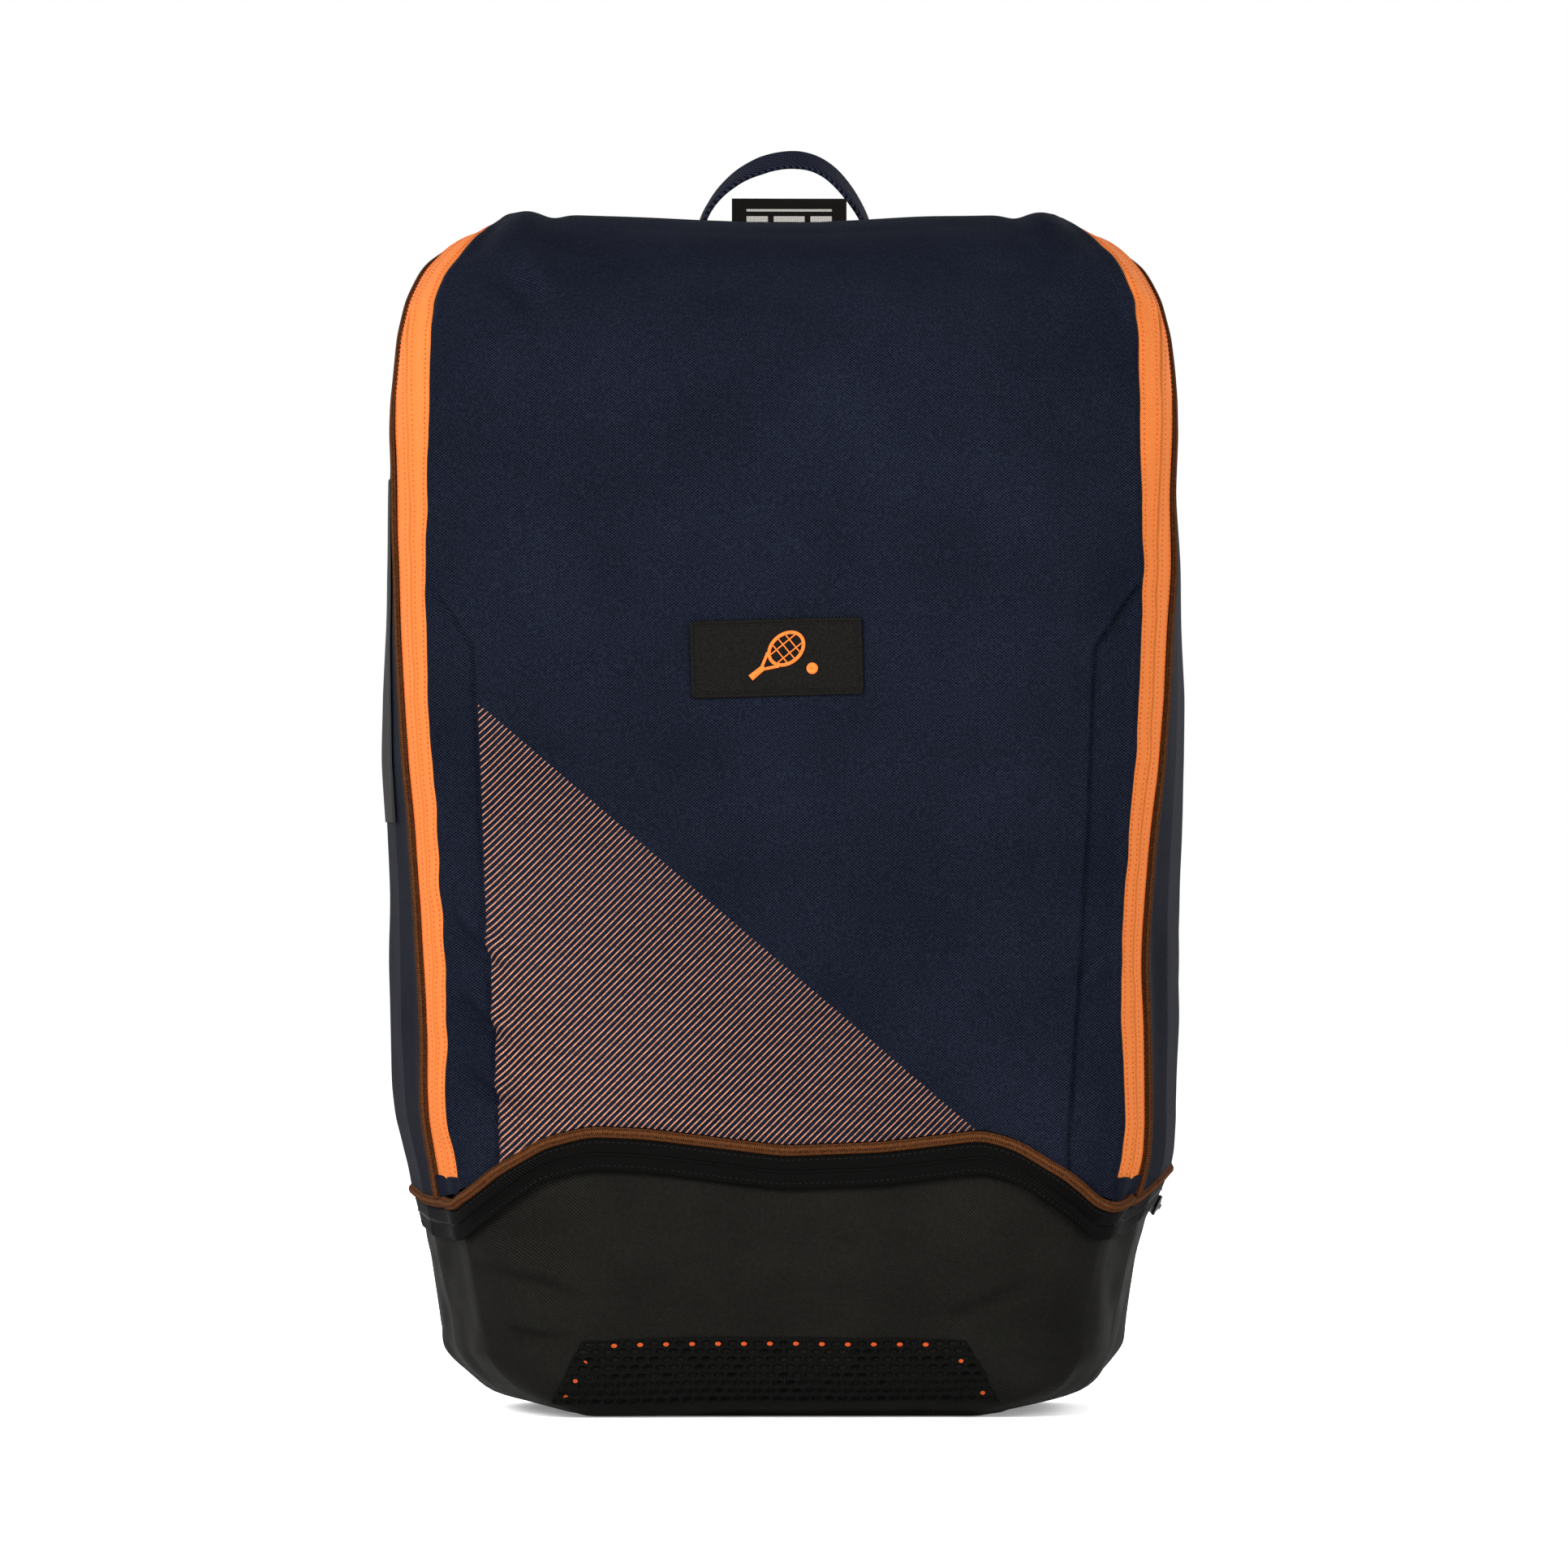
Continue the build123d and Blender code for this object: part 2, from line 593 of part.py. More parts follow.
# Shoulder straps. Along, out and across are measured in a plane of the strap's own
TOP_TAB_OUT = 7.0
PAD_START = 14.0
PAD_END_OUT = 24.0
PAD_BOW = 46.0
PAD_THICK = 12.0
LOCK_LENGTH = 22.0
LOCK_THICK = 5.0
TAIL_LENGTH = 60.0
TAB_X = 122.0
TAB_Z = 46.0
AXIS_OUT = 5.0
for side_name, side in (("left", -1), ("right", 1)):
    with BuildPart() as strap_top_anchor:
        with BuildSketch(Plane.XZ.offset(-BACK_Y - 2)):
            with Locations((side * (STRAP_TOP[0] - 1), STRAP_TOP[1])):
                Rectangle(60, 22)
        extrude(amount=2)
    save(strap_top_anchor.part, f"strap_top_anchor_{side_name}")

    tab_right = side * (TAB_X + 12)
    tab_outline = [(side * 88, TAB_Z - 14), (tab_right, TAB_Z - 14), (tab_right, TAB_Z + 30)]
    with BuildPart() as strap_bottom_tab:
        with BuildSketch(Plane.XZ.offset(-BACK_Y - 2)):
            filled_outline(tab_outline, [3, 3, 3])
        extrude(amount=2)
    save(strap_bottom_tab.part, f"strap_bottom_tab_{side_name}")

    run = Vector(side * (STRAP_FOOT[0] - STRAP_TOP[0]), 0, STRAP_FOOT[1] - STRAP_TOP[1])
    across = run.cross(Vector(0, 1, 0))
    strap_plane = Plane(origin=(side * STRAP_TOP[0], BACK_Y, STRAP_TOP[1]), x_dir=run, z_dir=across)
    length = run.length
    with BuildPart() as strap_pad:
        with BuildSketch(strap_plane.offset(-STRAP_HALF_WIDTH)):
            with BuildLine():
                outer_face = ThreePointArc(
                    (PAD_START, TOP_TAB_OUT + 3 + PAD_THICK),
                    (0.45 * length, PAD_BOW + PAD_THICK),
                    (length, PAD_END_OUT + PAD_THICK - 2),
                )
                inner_face = ThreePointArc(
                    (PAD_START, TOP_TAB_OUT + 3), (0.45 * length, PAD_BOW), (length, PAD_END_OUT)
                )
                Line(outer_face @ 0, inner_face @ 0)
                Line(outer_face @ 1, inner_face @ 1)
            make_face()
        extrude(amount=2 * STRAP_HALF_WIDTH)
    save(strap_pad.part, f"strap_pad_{side_name}")

    lock_out = PAD_END_OUT + 2.5
    with BuildPart() as ladder_lock:
        with BuildSketch(strap_plane.offset(-17)):
            with Locations((length + LOCK_LENGTH / 2, lock_out + LOCK_THICK / 2)):
                Rectangle(LOCK_LENGTH, LOCK_THICK)
        extrude(amount=34)
        with BuildSketch(strap_plane.offset(-13.5)):
            with Locations(*[(length + along, lock_out + LOCK_THICK / 2) for along in (5, 17)]):
                Rectangle(4, 2 * LOCK_THICK)
        extrude(amount=27, mode=Mode.SUBTRACT)
    save(ladder_lock.part, f"ladder_lock_{side_name}")

    web_start = strap_plane.from_local_coords((length + LOCK_LENGTH + 2, lock_out + 1, 0))
    web_end = Vector(side * TAB_X, BACK_Y + AXIS_OUT + 0.5, TAB_Z + 8)
    web_run = web_end - web_start
    web_plane = Plane(origin=web_start, x_dir=web_run, z_dir=web_run.cross(Vector(0, 1, 0)))
    with BuildPart() as strap_webbing:
        with BuildSketch(web_plane.offset(-WEBBING_HALF)):
            with Locations((web_run.length / 2, 0)):
                Rectangle(web_run.length, WEBBING)
        extrude(amount=2 * WEBBING_HALF)
        with BuildSketch(strap_plane.offset(-WEBBING_HALF)):
            with Locations((length + 4, lock_out + LOCK_THICK + 0.2)):
                Rectangle(TAIL_LENGTH, WEBBING, align=(Align.MIN, Align.MIN))
        extrude(amount=2 * WEBBING_HALF)
    save(strap_webbing.part, f"strap_webbing_{side_name}")

    with BuildPart() as strap_top_tab:
        with BuildSketch(strap_plane.offset(-WEBBING_HALF)):
            with Locations((-2, TOP_TAB_OUT)):
                Rectangle(PAD_START + 2, WEBBING, align=(Align.MIN, Align.MIN))
        extrude(amount=2 * WEBBING_HALF)
    save(strap_top_tab.part, f"strap_top_tab_{side_name}")
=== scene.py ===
"""Racket backpack: the looks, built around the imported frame.

Shapes are worked out in millimetres, in the frame's own axes (X right, Y to the back, Z up),
and turned into metres when a mesh is made. The bag's outside is one smooth form; every panel,
tape and seam is a grid laid on it.
"""

import math

import bpy
import numpy as np
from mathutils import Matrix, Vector
from mathutils.kdtree import KDTree


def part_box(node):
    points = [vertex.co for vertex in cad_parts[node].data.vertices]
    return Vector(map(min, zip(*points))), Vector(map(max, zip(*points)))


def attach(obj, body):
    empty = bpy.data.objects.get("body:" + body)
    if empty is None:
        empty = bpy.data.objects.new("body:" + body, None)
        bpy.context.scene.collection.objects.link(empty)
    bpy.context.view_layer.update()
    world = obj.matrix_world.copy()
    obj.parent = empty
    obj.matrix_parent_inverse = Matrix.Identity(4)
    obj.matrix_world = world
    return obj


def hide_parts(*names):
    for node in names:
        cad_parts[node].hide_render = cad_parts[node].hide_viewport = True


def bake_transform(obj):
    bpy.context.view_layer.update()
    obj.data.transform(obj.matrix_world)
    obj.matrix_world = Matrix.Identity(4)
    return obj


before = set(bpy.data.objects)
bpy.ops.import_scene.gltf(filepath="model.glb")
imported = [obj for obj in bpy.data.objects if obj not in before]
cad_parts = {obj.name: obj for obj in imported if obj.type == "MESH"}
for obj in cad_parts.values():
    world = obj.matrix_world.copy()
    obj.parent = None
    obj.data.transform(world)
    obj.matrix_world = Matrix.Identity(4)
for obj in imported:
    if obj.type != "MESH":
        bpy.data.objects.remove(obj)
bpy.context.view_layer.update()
MM = 0.001


def unit(vectors):
    """Directions of unit length."""
    return vectors / np.linalg.norm(vectors, axis=-1, keepdims=True)


def tangents(path):
    """The direction of travel at each point of a path."""
    return unit(np.gradient(path, axis=0))


def lengths_along(path):
    """How far each point of a path is from its start."""
    return np.r_[0, np.cumsum(np.linalg.norm(np.diff(path, axis=0), axis=1))]


def gauss(value, width):
    return np.exp(-0.5 * (value / width) ** 2)


def bell(reach, width):
    """Weights for a soft average over whole steps from -reach to reach."""
    weights = np.exp(-0.5 * (np.arange(-reach, reach + 1) / width) ** 2)
    return weights / weights.sum()


# ---------------------------------------------------------------- the bag's outside form
def rounded_outline(points, radii, step=3.0):
    """A dense closed outline of straight runs joined by round corners."""
    points = np.array(points, float)
    out = []
    neighbours = zip(np.roll(points, 1, 0), points, np.roll(points, -1, 0), radii)
    for before, corner, after, radius in neighbours:
        inward = (before - corner) / np.linalg.norm(before - corner)
        onward = (after - corner) / np.linalg.norm(after - corner)
        half_turn = (math.pi - math.acos(np.clip(inward @ onward, -1, 1))) / 2
        reach = radius * math.tan(half_turn)
        start, end = corner + inward * reach, corner + onward * reach
        bisector = (inward + onward) / np.linalg.norm(inward + onward)
        centre = corner + bisector * radius / math.cos(half_turn)
        count = max(2, int(2 * half_turn * radius / step))
        for t in np.linspace(0, 1, count):
            way = start * (1 - t) + end * t - centre
            out.append(centre + way / np.linalg.norm(way) * radius)
    return np.array(out)


class DistanceField:
    """Signed distance to a closed outline, negative inside, read from a grid."""

    def __init__(self, outline, low, high, cell=2.0):
        self.low, self.cell = np.array(low, float), cell
        axes = [np.arange(a, b + cell, cell) for a, b in zip(low, high)]
        grid = np.stack(np.meshgrid(*axes, indexing="ij"), -1)
        flat = grid.reshape(-1, 2)
        best = np.full(len(flat), 1e9)
        inside = np.zeros(len(flat), bool)
        for a, b in zip(outline, np.roll(outline, -1, 0)):
            along = b - a
            size = along @ along
            if size < 1e-9:
                continue
            t = np.clip((flat - a) @ along / size, 0, 1)
            best = np.minimum(best, np.hypot(*(flat - a - t[:, None] * along).T))
            crosses = (a[1] > flat[:, 1]) != (b[1] > flat[:, 1])
            with np.errstate(divide="ignore", invalid="ignore"):
                at = a[0] + (flat[:, 1] - a[1]) / (b[1] - a[1]) * along[0]
            inside ^= crosses & (flat[:, 0] < at)
        self.values = np.where(inside, -best, best).reshape(grid.shape[:2])

    def __call__(self, p, q):
        shape = np.array(self.values.shape) - 2
        i = np.clip((p - self.low[0]) / self.cell, 0, shape[0] + 0.999)
        j = np.clip((q - self.low[1]) / self.cell, 0, shape[1] + 0.999)
        a, b = i.astype(int), j.astype(int)
        u, w = i - a, j - b
        v = self.values
        low = v[a, b] * (1 - u) + v[a + 1, b] * u
        high = v[a, b + 1] * (1 - u) + v[a + 1, b + 1] * u
        return low * (1 - w) + high * w


def smooth_curve(stations, values, blur):
    """A smooth function through listed stations."""
    x = np.arange(stations[0] - 60, stations[-1] + 60, 1.0)
    y = np.interp(x, stations, values)
    y = np.convolve(np.pad(y, 3 * blur, mode="edge"), bell(3 * blur, blur), mode="valid")[: len(x)]
    return lambda at: np.interp(at, x, y)


SIDE_OUTLINE = [(-92, 0), (-106, 62), (-105, 108), (-111, 230), (-105, 372), (-97, 508), (88, 493), (88, 0)]
SIDE_RADII = [30, 60, 160, 400, 300, 96, 22, 28]
side_field = DistanceField(rounded_outline(SIDE_OUTLINE, SIDE_RADII), (-190, -60), (170, 570))

# Half width seen from the front, by height
WIDTH_Z = [-60, 0, 3, 6, 9, 14, 20, 27, 40, 54, 67, 81, 95, 108, 122, 135, 163, 203, 244, 271, 299, 339,
           380, 407, 421, 435, 448, 462, 475, 484, 490, 496, 500, 504, 512, 560]
WIDTH_X = [40, 93, 108, 120, 126, 132, 137, 141.5, 143, 145.5, 148.5, 153, 158.2, 161.5, 163.8, 164.7,
           165.7, 165.8, 166.2, 167, 167, 165.6, 164.6, 164.6, 163.6, 161.6, 159.8, 156, 150, 144, 138.5,
           130, 122, 110, 80, 20]
half_width = smooth_curve(WIDTH_Z, WIDTH_X, 2)
# How far the crease in front of the zip, and the piping behind it, lie inside that width
crease_inset = smooth_curve([60, 98, 165, 200, 285, 353, 421, 450, 500],
                            [22, 24, 26.5, 25.5, 21.5, 17, 17, 16, 14], 12)
piping_inset = smooth_curve([60, 100, 165, 200, 285, 353, 400, 445, 500],
                            [12, 15, 18, 16.5, 11, 4.5, 4.5, 2, 0], 12)
CREASE_Y, PIPING_Y = -92.0, -63.0


def side_inset(y, z):
    """How far the side wall lies inside the full half width, from front to back."""
    crease, piping = crease_inset(z), piping_inset(z)
    stations = [-175, -112, CREASE_Y, -78, PIPING_Y, -36, 0, 45, 66, 78, 90, 130]
    inset = [crease + 95, crease + 27, crease, 0.5 * (crease + piping) - 1.2, piping, 0.35 * piping,
             0, 0, 3, 8, 20, 95]
    result = np.zeros(np.broadcast(y, z).shape)
    for k in range(len(stations) - 1):
        t = np.clip((y - stations[k]) / (stations[k + 1] - stations[k]), 0, 1)
        part = (y >= stations[k]) & (y < stations[k + 1])
        result = np.where(part, inset[k] * (1 - t) + inset[k + 1] * t, result)
    return result


def smooth_max(a, b, k):
    """The larger of two distances, rounded where they are within k of each other."""
    h = np.maximum(k - np.abs(a - b), 0)
    return np.maximum(a, b) + h * h / (4 * k)


def form(p):
    """Below zero inside the bag and above zero outside it."""
    x, y, z = p[..., 0], p[..., 1], p[..., 2]
    lean = np.sign(x) * (2.6 * gauss(z - 102, 14) + 2.0 * gauss(z - 8, 9))
    wall = (np.abs(x) - half_width(z) - lean + side_inset(y, z)) * 0.86
    rounding = np.interp(z, [0, 10, 34, 75, 100, 340, 400, 470], [5, 9, 38, 40, 9, 9, 26, 30])
    return smooth_max(wall, side_field(y, z), rounding)


CORE_LOW, CORE_HIGH = np.array([-95.0, -35.0, 90.0]), np.array([95.0, 25.0, 395.0])


def cast(origin, way, reach=330.0, steps=20):
    """Where rays from inside the bag cross its outside."""
    way = unit(way)
    low = np.zeros(way.shape[:-1])
    high = np.full(way.shape[:-1], reach)
    for _ in range(steps):
        middle = 0.5 * (low + high)
        inside = form(origin + middle[..., None] * way) < 0
        low = np.where(inside, middle, low)
        high = np.where(inside, high, middle)
    return origin + low[..., None] * way


def on_form(p):
    """Moves points along rays from the bag's core onto its outside."""
    core = np.clip(p, CORE_LOW, CORE_HIGH)
    return cast(core, p - core + 1e-9)


def at_height(p):
    """Moves points level with themselves, outwards from the bag's core, onto its outside."""
    core = np.stack([np.clip(p[..., 0], -60, 60), np.clip(p[..., 1], -35, 25), p[..., 2]], -1)
    return cast(core, (p - core) * np.array([1, 1, 0]) + 1e-9)


def normals(p):
    """Outward directions of the form at points on it."""
    return unit(np.stack([form(p + step) - form(p - step) for step in np.eye(3) * 1.5], -1))


def resample(points, count):
    """A line of points spaced evenly along an open path."""
    lengths = lengths_along(points)
    at = np.linspace(0, lengths[-1], count)
    return np.stack([np.interp(at, lengths, points[:, k]) for k in range(3)], -1)


def blurred(points, reach):
    """An open path with its corners softened."""
    pad = 3 * reach
    weights = bell(pad, reach)
    head = 2 * points[0] - points[pad:0:-1]
    tail = 2 * points[-1] - points[-2:-pad - 2:-1]
    full = np.concatenate([head, points, tail])
    return np.stack([np.convolve(full[:, k], weights, mode="valid") for k in range(3)], -1)


def noise(p, size, seed):
    """Smooth random values between -1 and 1, with bumps about size across."""
    table = np.random.default_rng(seed).uniform(-1, 1, (24, 24, 24))
    q = np.asarray(p, float) / size
    base = np.floor(q).astype(int)
    t = q - base
    t = t * t * (3 - 2 * t)
    total = 0
    for corner in np.ndindex(2, 2, 2):
        weight = np.prod([t[..., k] if far else 1 - t[..., k] for k, far in enumerate(corner)], axis=0)
        index = tuple((base[..., k] + corner[k]) % 24 for k in range(3))
        total = total + weight * table[index]
    return total


# ---------------------------------------------------------------- meshes
def make_object(name, vertices, faces, uv=None, smooth=True):
    """A mesh object from millimetre vertices, with an optional cloth map in metres."""
    mesh = bpy.data.meshes.new(name)
    faces = faces.tolist() if hasattr(faces, "tolist") else faces
    mesh.from_pydata((np.asarray(vertices) * MM).tolist(), [], faces)
    if uv is not None:
        layer = mesh.uv_layers.new(name="cloth")
        index = np.empty(len(mesh.loops), int)
        mesh.loops.foreach_get("vertex_index", index)
        layer.data.foreach_set("uv", (np.asarray(uv)[index] * MM).astype(np.float32).ravel())
    mesh.polygons.foreach_set("use_smooth", [smooth] * len(mesh.polygons))
    mesh.update()
    obj = bpy.data.objects.new(name, mesh)
    bpy.context.scene.collection.objects.link(obj)
    return obj


def grid_faces(rows, columns, wrap=False, flip=False):
    """Quads between the points of a grid."""
    i, j = np.meshgrid(np.arange(rows - 1), np.arange(columns if wrap else columns - 1), indexing="ij")
    k = (j + 1) % columns
    quads = np.stack([i * columns + j, i * columns + k, (i + 1) * columns + k, (i + 1) * columns + j], -1)
    quads = quads.reshape(-1, 4)
    return quads[:, ::-1] if flip else quads


def grid_uv(points):
    """Lengths along a grid's columns and rows, in millimetres, averaged so that the map stays straight."""
    across = np.linalg.norm(np.diff(points, axis=1), axis=2).mean(0)
    along = np.linalg.norm(np.diff(points, axis=0), axis=2).mean(1)
    u = np.r_[0, np.cumsum(across)]
    v = np.r_[0, np.cumsum(along)]
    return np.stack(np.broadcast_arrays(u[None, :], v[:, None]), -1)


def sheet_object(name, points, wrap=False, uv=None, outward=None):
    """A grid of points as one smooth sheet that faces away from the bag's middle."""
    rows, columns = points.shape[:2]
    middle = np.array([0, -5, 250.0]) if outward is None else outward
    i, j = rows // 2, columns // 2
    across = points[i, min(j + 1, columns - 1)] - points[i, j - 1]
    along = points[min(i + 1, rows - 1), j] - points[i - 1, j]
    flip = np.cross(across, along) @ (points[i, j] - middle) < 0
    uv = grid_uv(points) if uv is None else uv
    faces = grid_faces(rows, columns, wrap, flip)
    return make_object(name, points.reshape(-1, 3), faces, uv.reshape(-1, 2))


def tube_object(name, path, radius, sides, normal, squash=1.0):
    """A round cord along a path, with flat closed ends."""
    tangent = tangents(path)
    side = unit(np.cross(tangent, normal))
    up = np.cross(side, tangent)
    angle = np.linspace(0, 2 * math.pi, sides, endpoint=False)
    radius = np.broadcast_to(radius, len(path))[:, None, None]
    cos, sin = np.cos(angle)[None, :, None], np.sin(angle)[None, :, None]
    points = path[:, None] + (side[:, None] * cos + up[:, None] * sin * squash) * radius
    uv = np.stack(np.broadcast_arrays(angle[None, :] / (2 * math.pi) * 12, lengths_along(path)[:, None]), -1)
    faces = grid_faces(len(path), sides, wrap=True, flip=True).tolist()
    faces.append(list(range(sides)))
    faces.append([(len(path) - 1) * sides + k for k in reversed(range(sides))])
    return make_object(name, points.reshape(-1, 3), faces, uv.reshape(-1, 2))


def coons(bottom, top, left, right):
    """A grid spanned between four edges; rows run from bottom to top."""
    s = np.linspace(0, 1, len(bottom))[None, :, None]
    t = np.linspace(0, 1, len(left))[:, None, None]
    ruled = bottom[None] * (1 - t) + top[None] * t + left[:, None] * (1 - s) + right[:, None] * s
    corners = (bottom[0] * (1 - s) + bottom[-1] * s) * (1 - t) + (top[0] * (1 - s) + top[-1] * s) * t
    return ruled - corners


# ---------------------------------------------------------------- lines that the panels share
WAVE = [(-310, 104), (-172, 104), (-162, 99), (-151, 91), (-141, 90), (-129, 96), (-100, 116), (-80, 121),
        (-57, 120), (0, 113), (40, 114.5), (82, 119.5), (97, 115), (119, 100), (130, 91), (142, 89.5),
        (152, 94), (162, 103), (172, 107), (310, 107)]
ZIP_FOOT_Z = 99.0
TAPE = 15.0


def wave_z(x):
    """Height of the wave of base piping."""
    knots = np.array(WAVE, float)
    fine = np.linspace(-310, 310, 1241)
    height = np.interp(fine, knots[:, 0], knots[:, 1])
    height = np.convolve(np.pad(height, 40, mode="edge"), bell(40, 7.0), mode="valid")
    return np.interp(x, fine, height)


def chain_path():
    """The clamshell zip's chain, from its right foot up, over the roof and down to its left foot."""
    rise = np.linspace(ZIP_FOOT_Z, 403, 90)
    turn = np.linspace(0, 1.32, 60)
    y = np.r_[np.full(90, -78.0), -4 - 74 * np.cos(turn[1:])]
    z = np.r_[rise, 403 + 87 * np.sin(turn[1:])]
    back = np.linspace(y[-1], 20, 20)[1:]
    y = np.r_[y, back]
    z = np.r_[z, np.linspace(z[-1], 493, 20)[1:]]
    start = np.stack([np.full_like(y, 60.0), y, z], -1)
    side = cast(start, np.tile([1.0, 0, 0], (len(y), 1)), 160)
    x = np.linspace(112, 0, 60)
    start = np.stack([x, np.full_like(x, 28.0), np.full_like(x, 420.0)], -1)
    roof = cast(start, np.tile([0, 0, 1.0], (len(x), 1)), 150)
    half = resample(np.concatenate([side, roof]), 700)
    half = on_form(blurred(half, 14))
    left = half[::-1][1:] * np.array([-1, 1, 1])
    return resample(np.concatenate([half, left]), 1400)


def beside(path, distance):
    """A line on the form beside the chain: positive towards the front flap."""
    across = unit(np.cross(normals(path), tangents(path)))
    sign = 1.0 if across[50, 1] < 0 else -1.0
    line = path.copy()
    for _ in range(3):
        line = on_form(line + across * (sign * distance / 3))
    return line


chain = chain_path()
flap_edge = blurred(beside(chain, TAPE), 4)
body_edge = blurred(beside(chain, -TAPE - 1.8), 4)


# ---------------------------------------------------------------- finishes
class Finish:
    """A material built from a few nodes, worked out over the piece's own cloth map in metres."""

    def __init__(self, name, specular=0.006):
        self.material = bpy.data.materials.new(name)
        self.material.use_nodes = True
        self.tree = self.material.node_tree
        self.shader = self.tree.nodes["Principled BSDF"]
        self.shader.inputs["Specular IOR Level"].default_value = specular
        split = self.add("ShaderNodeSeparateXYZ", self.add("ShaderNodeUVMap", uv_map="cloth").outputs[0])
        self.u, self.v = split.outputs[0], split.outputs[1]
        self.place = self.add("ShaderNodeTexCoord").outputs["Object"]

    def add(self, kind, *inputs, **settings):
        node = self.tree.nodes.new(kind)
        for key, value in settings.items():
            setattr(node, key, value)
        for slot, value in enumerate(inputs):
            self.feed(node.inputs[slot], value)
        return node

    def feed(self, socket, value):
        if isinstance(value, bpy.types.NodeSocket):
            self.tree.links.new(value, socket)
        else:
            socket.default_value = value

    def math(self, operation, *inputs):
        return self.add("ShaderNodeMath", *inputs, operation=operation).outputs[0]

    def wave(self, value, pitch, phase=0.0):
        """A sine of a length, once every pitch millimetres."""
        return self.math("SINE", self.math("MULTIPLY_ADD", value, 2000 * math.pi / pitch, phase))

    def noise(self, size, detail=2.0):
        """Cloudy values from 0 to 1 with features about size millimetres across."""
        node = self.add("ShaderNodeTexNoise")
        self.feed(node.inputs["Vector"], self.place)
        node.inputs["Scale"].default_value = 1000 / size
        node.inputs["Detail"].default_value = detail
        return node.outputs[0]

    def between(self, value, low, high, start=0.0, end=1.0):
        return self.add("ShaderNodeMapRange", value, low, high, start, end).outputs[0]

    def mix(self, factor, a, b):
        node = self.add("ShaderNodeMix", data_type="RGBA")
        self.feed(node.inputs[0], factor)
        self.feed(node.inputs[6], a)
        self.feed(node.inputs[7], b)
        return node.outputs[2]

    def finish(self, colour, roughness=0.8, height=None, depth=0.2, metallic=0.0):
        """Joins the worked-out values to the shader; depth is the bump's height in millimetres."""
        self.feed(self.shader.inputs["Base Color"], colour)
        self.feed(self.shader.inputs["Roughness"], roughness)
        self.feed(self.shader.inputs["Metallic"], metallic)
        if height is not None:
            bump = self.add("ShaderNodeBump")
            bump.inputs["Distance"].default_value = depth * MM
            bump.inputs["Strength"].default_value = 1.0
            self.feed(bump.inputs["Height"], height)
            self.feed(self.shader.inputs["Normal"], bump.outputs[0])
        return self.material


BRIGHTNESS = 0.45


def rgb(red, green, blue):
    """A colour in the usual 0 to 255 numbers, as the shader wants it under the studio's bright lights."""
    shares = (red / 255, green / 255, blue / 255)
    linear = [v / 12.92 if v < 0.04045 else ((v + 0.055) / 1.055) ** 2.4 for v in shares]
    return (*[v * BRIGHTNESS for v in linear], 1.0)


def woven(finish, across, along):
    """Height of a plain weave whose threads are across and along millimetres wide."""
    return finish.math("MULTIPLY", finish.wave(finish.u, 2 * across), finish.wave(finish.v, 2 * along))


def oxford(name, dark, light, across=0.75, along=0.6, roughness=0.75, depth=0.12, hatch=False):
    """A woven synthetic cloth, with or without the printed hatch."""
    f = Finish(name)
    weave = woven(f, across, along)
    fleck = f.noise(0.9, 1.0)
    tone = f.math("ADD", f.between(weave, -0.5, 0.9, 0.0, 0.85),
                  f.between(fleck, 0.4, 0.75, 0.0, 0.35))
    tone = f.math("MULTIPLY", tone, f.between(f.noise(60, 2.0), 0.3, 0.7, 0.75, 1.1))
    colour = f.mix(tone, rgb(*dark), rgb(*light))
    metal = 0.0
    if hatch:
        ink = hatch_ink(f)
        colour = f.mix(ink, colour, rgb(192, 134, 108))
        metal = f.math("MULTIPLY", ink, 0.5)
        roughness = f.between(ink, 0.0, 1.0, roughness, 0.42)
    height = f.math("ADD", weave, f.math("MULTIPLY", f.noise(2.5, 2.0), 0.8))
    return f.finish(colour, roughness, height, depth, metal)


def hatch_ink(f):
    """Where the printed hatch is: slanted lines that thin out towards the field's upper edge."""
    x, z = f.u, f.v
    line = f.wave(f.math("MULTIPLY", f.math("SUBTRACT", z, x), 0.7071), 2.07)
    rise = f.math("MULTIPLY_ADD", x, 0.858, z)
    depth = f.between(rise, 0.187, 0.03)
    width = f.between(depth, 0.0, 0.8, 0.82, 0.62)
    ink = f.between(f.math("SUBTRACT", line, width), -0.12, 0.12)
    worn = f.between(f.noise(0.8, 1.0), 0.25, 0.5, 0.35, 1.0)
    seam = f.between(f.math("MULTIPLY_ADD", z, 0.045, x), -0.1124, -0.1120)
    field = f.math("MULTIPLY", seam, f.between(rise, 0.1875, 0.187))
    return f.math("MULTIPLY", f.math("MULTIPLY", ink, worn), field)


def twill(name, dark, light, pitch=1.0, half=7.5, roughness=0.62, depth=0.10):
    """Zip tape: herringbone ribs that turn at the middle of the tape."""
    f = Finish(name)
    folded = f.math("ABSOLUTE", f.math("SUBTRACT", f.u, half * MM))
    rib = f.wave(f.math("ADD", f.v, folded), pitch)
    thread = f.wave(f.u, 0.55)
    tone = f.between(f.math("MULTIPLY_ADD", thread, 0.35, rib), -1.0, 1.2)
    colour = f.mix(tone, rgb(*dark), rgb(*light))
    return f.finish(colour, roughness, rib, depth)


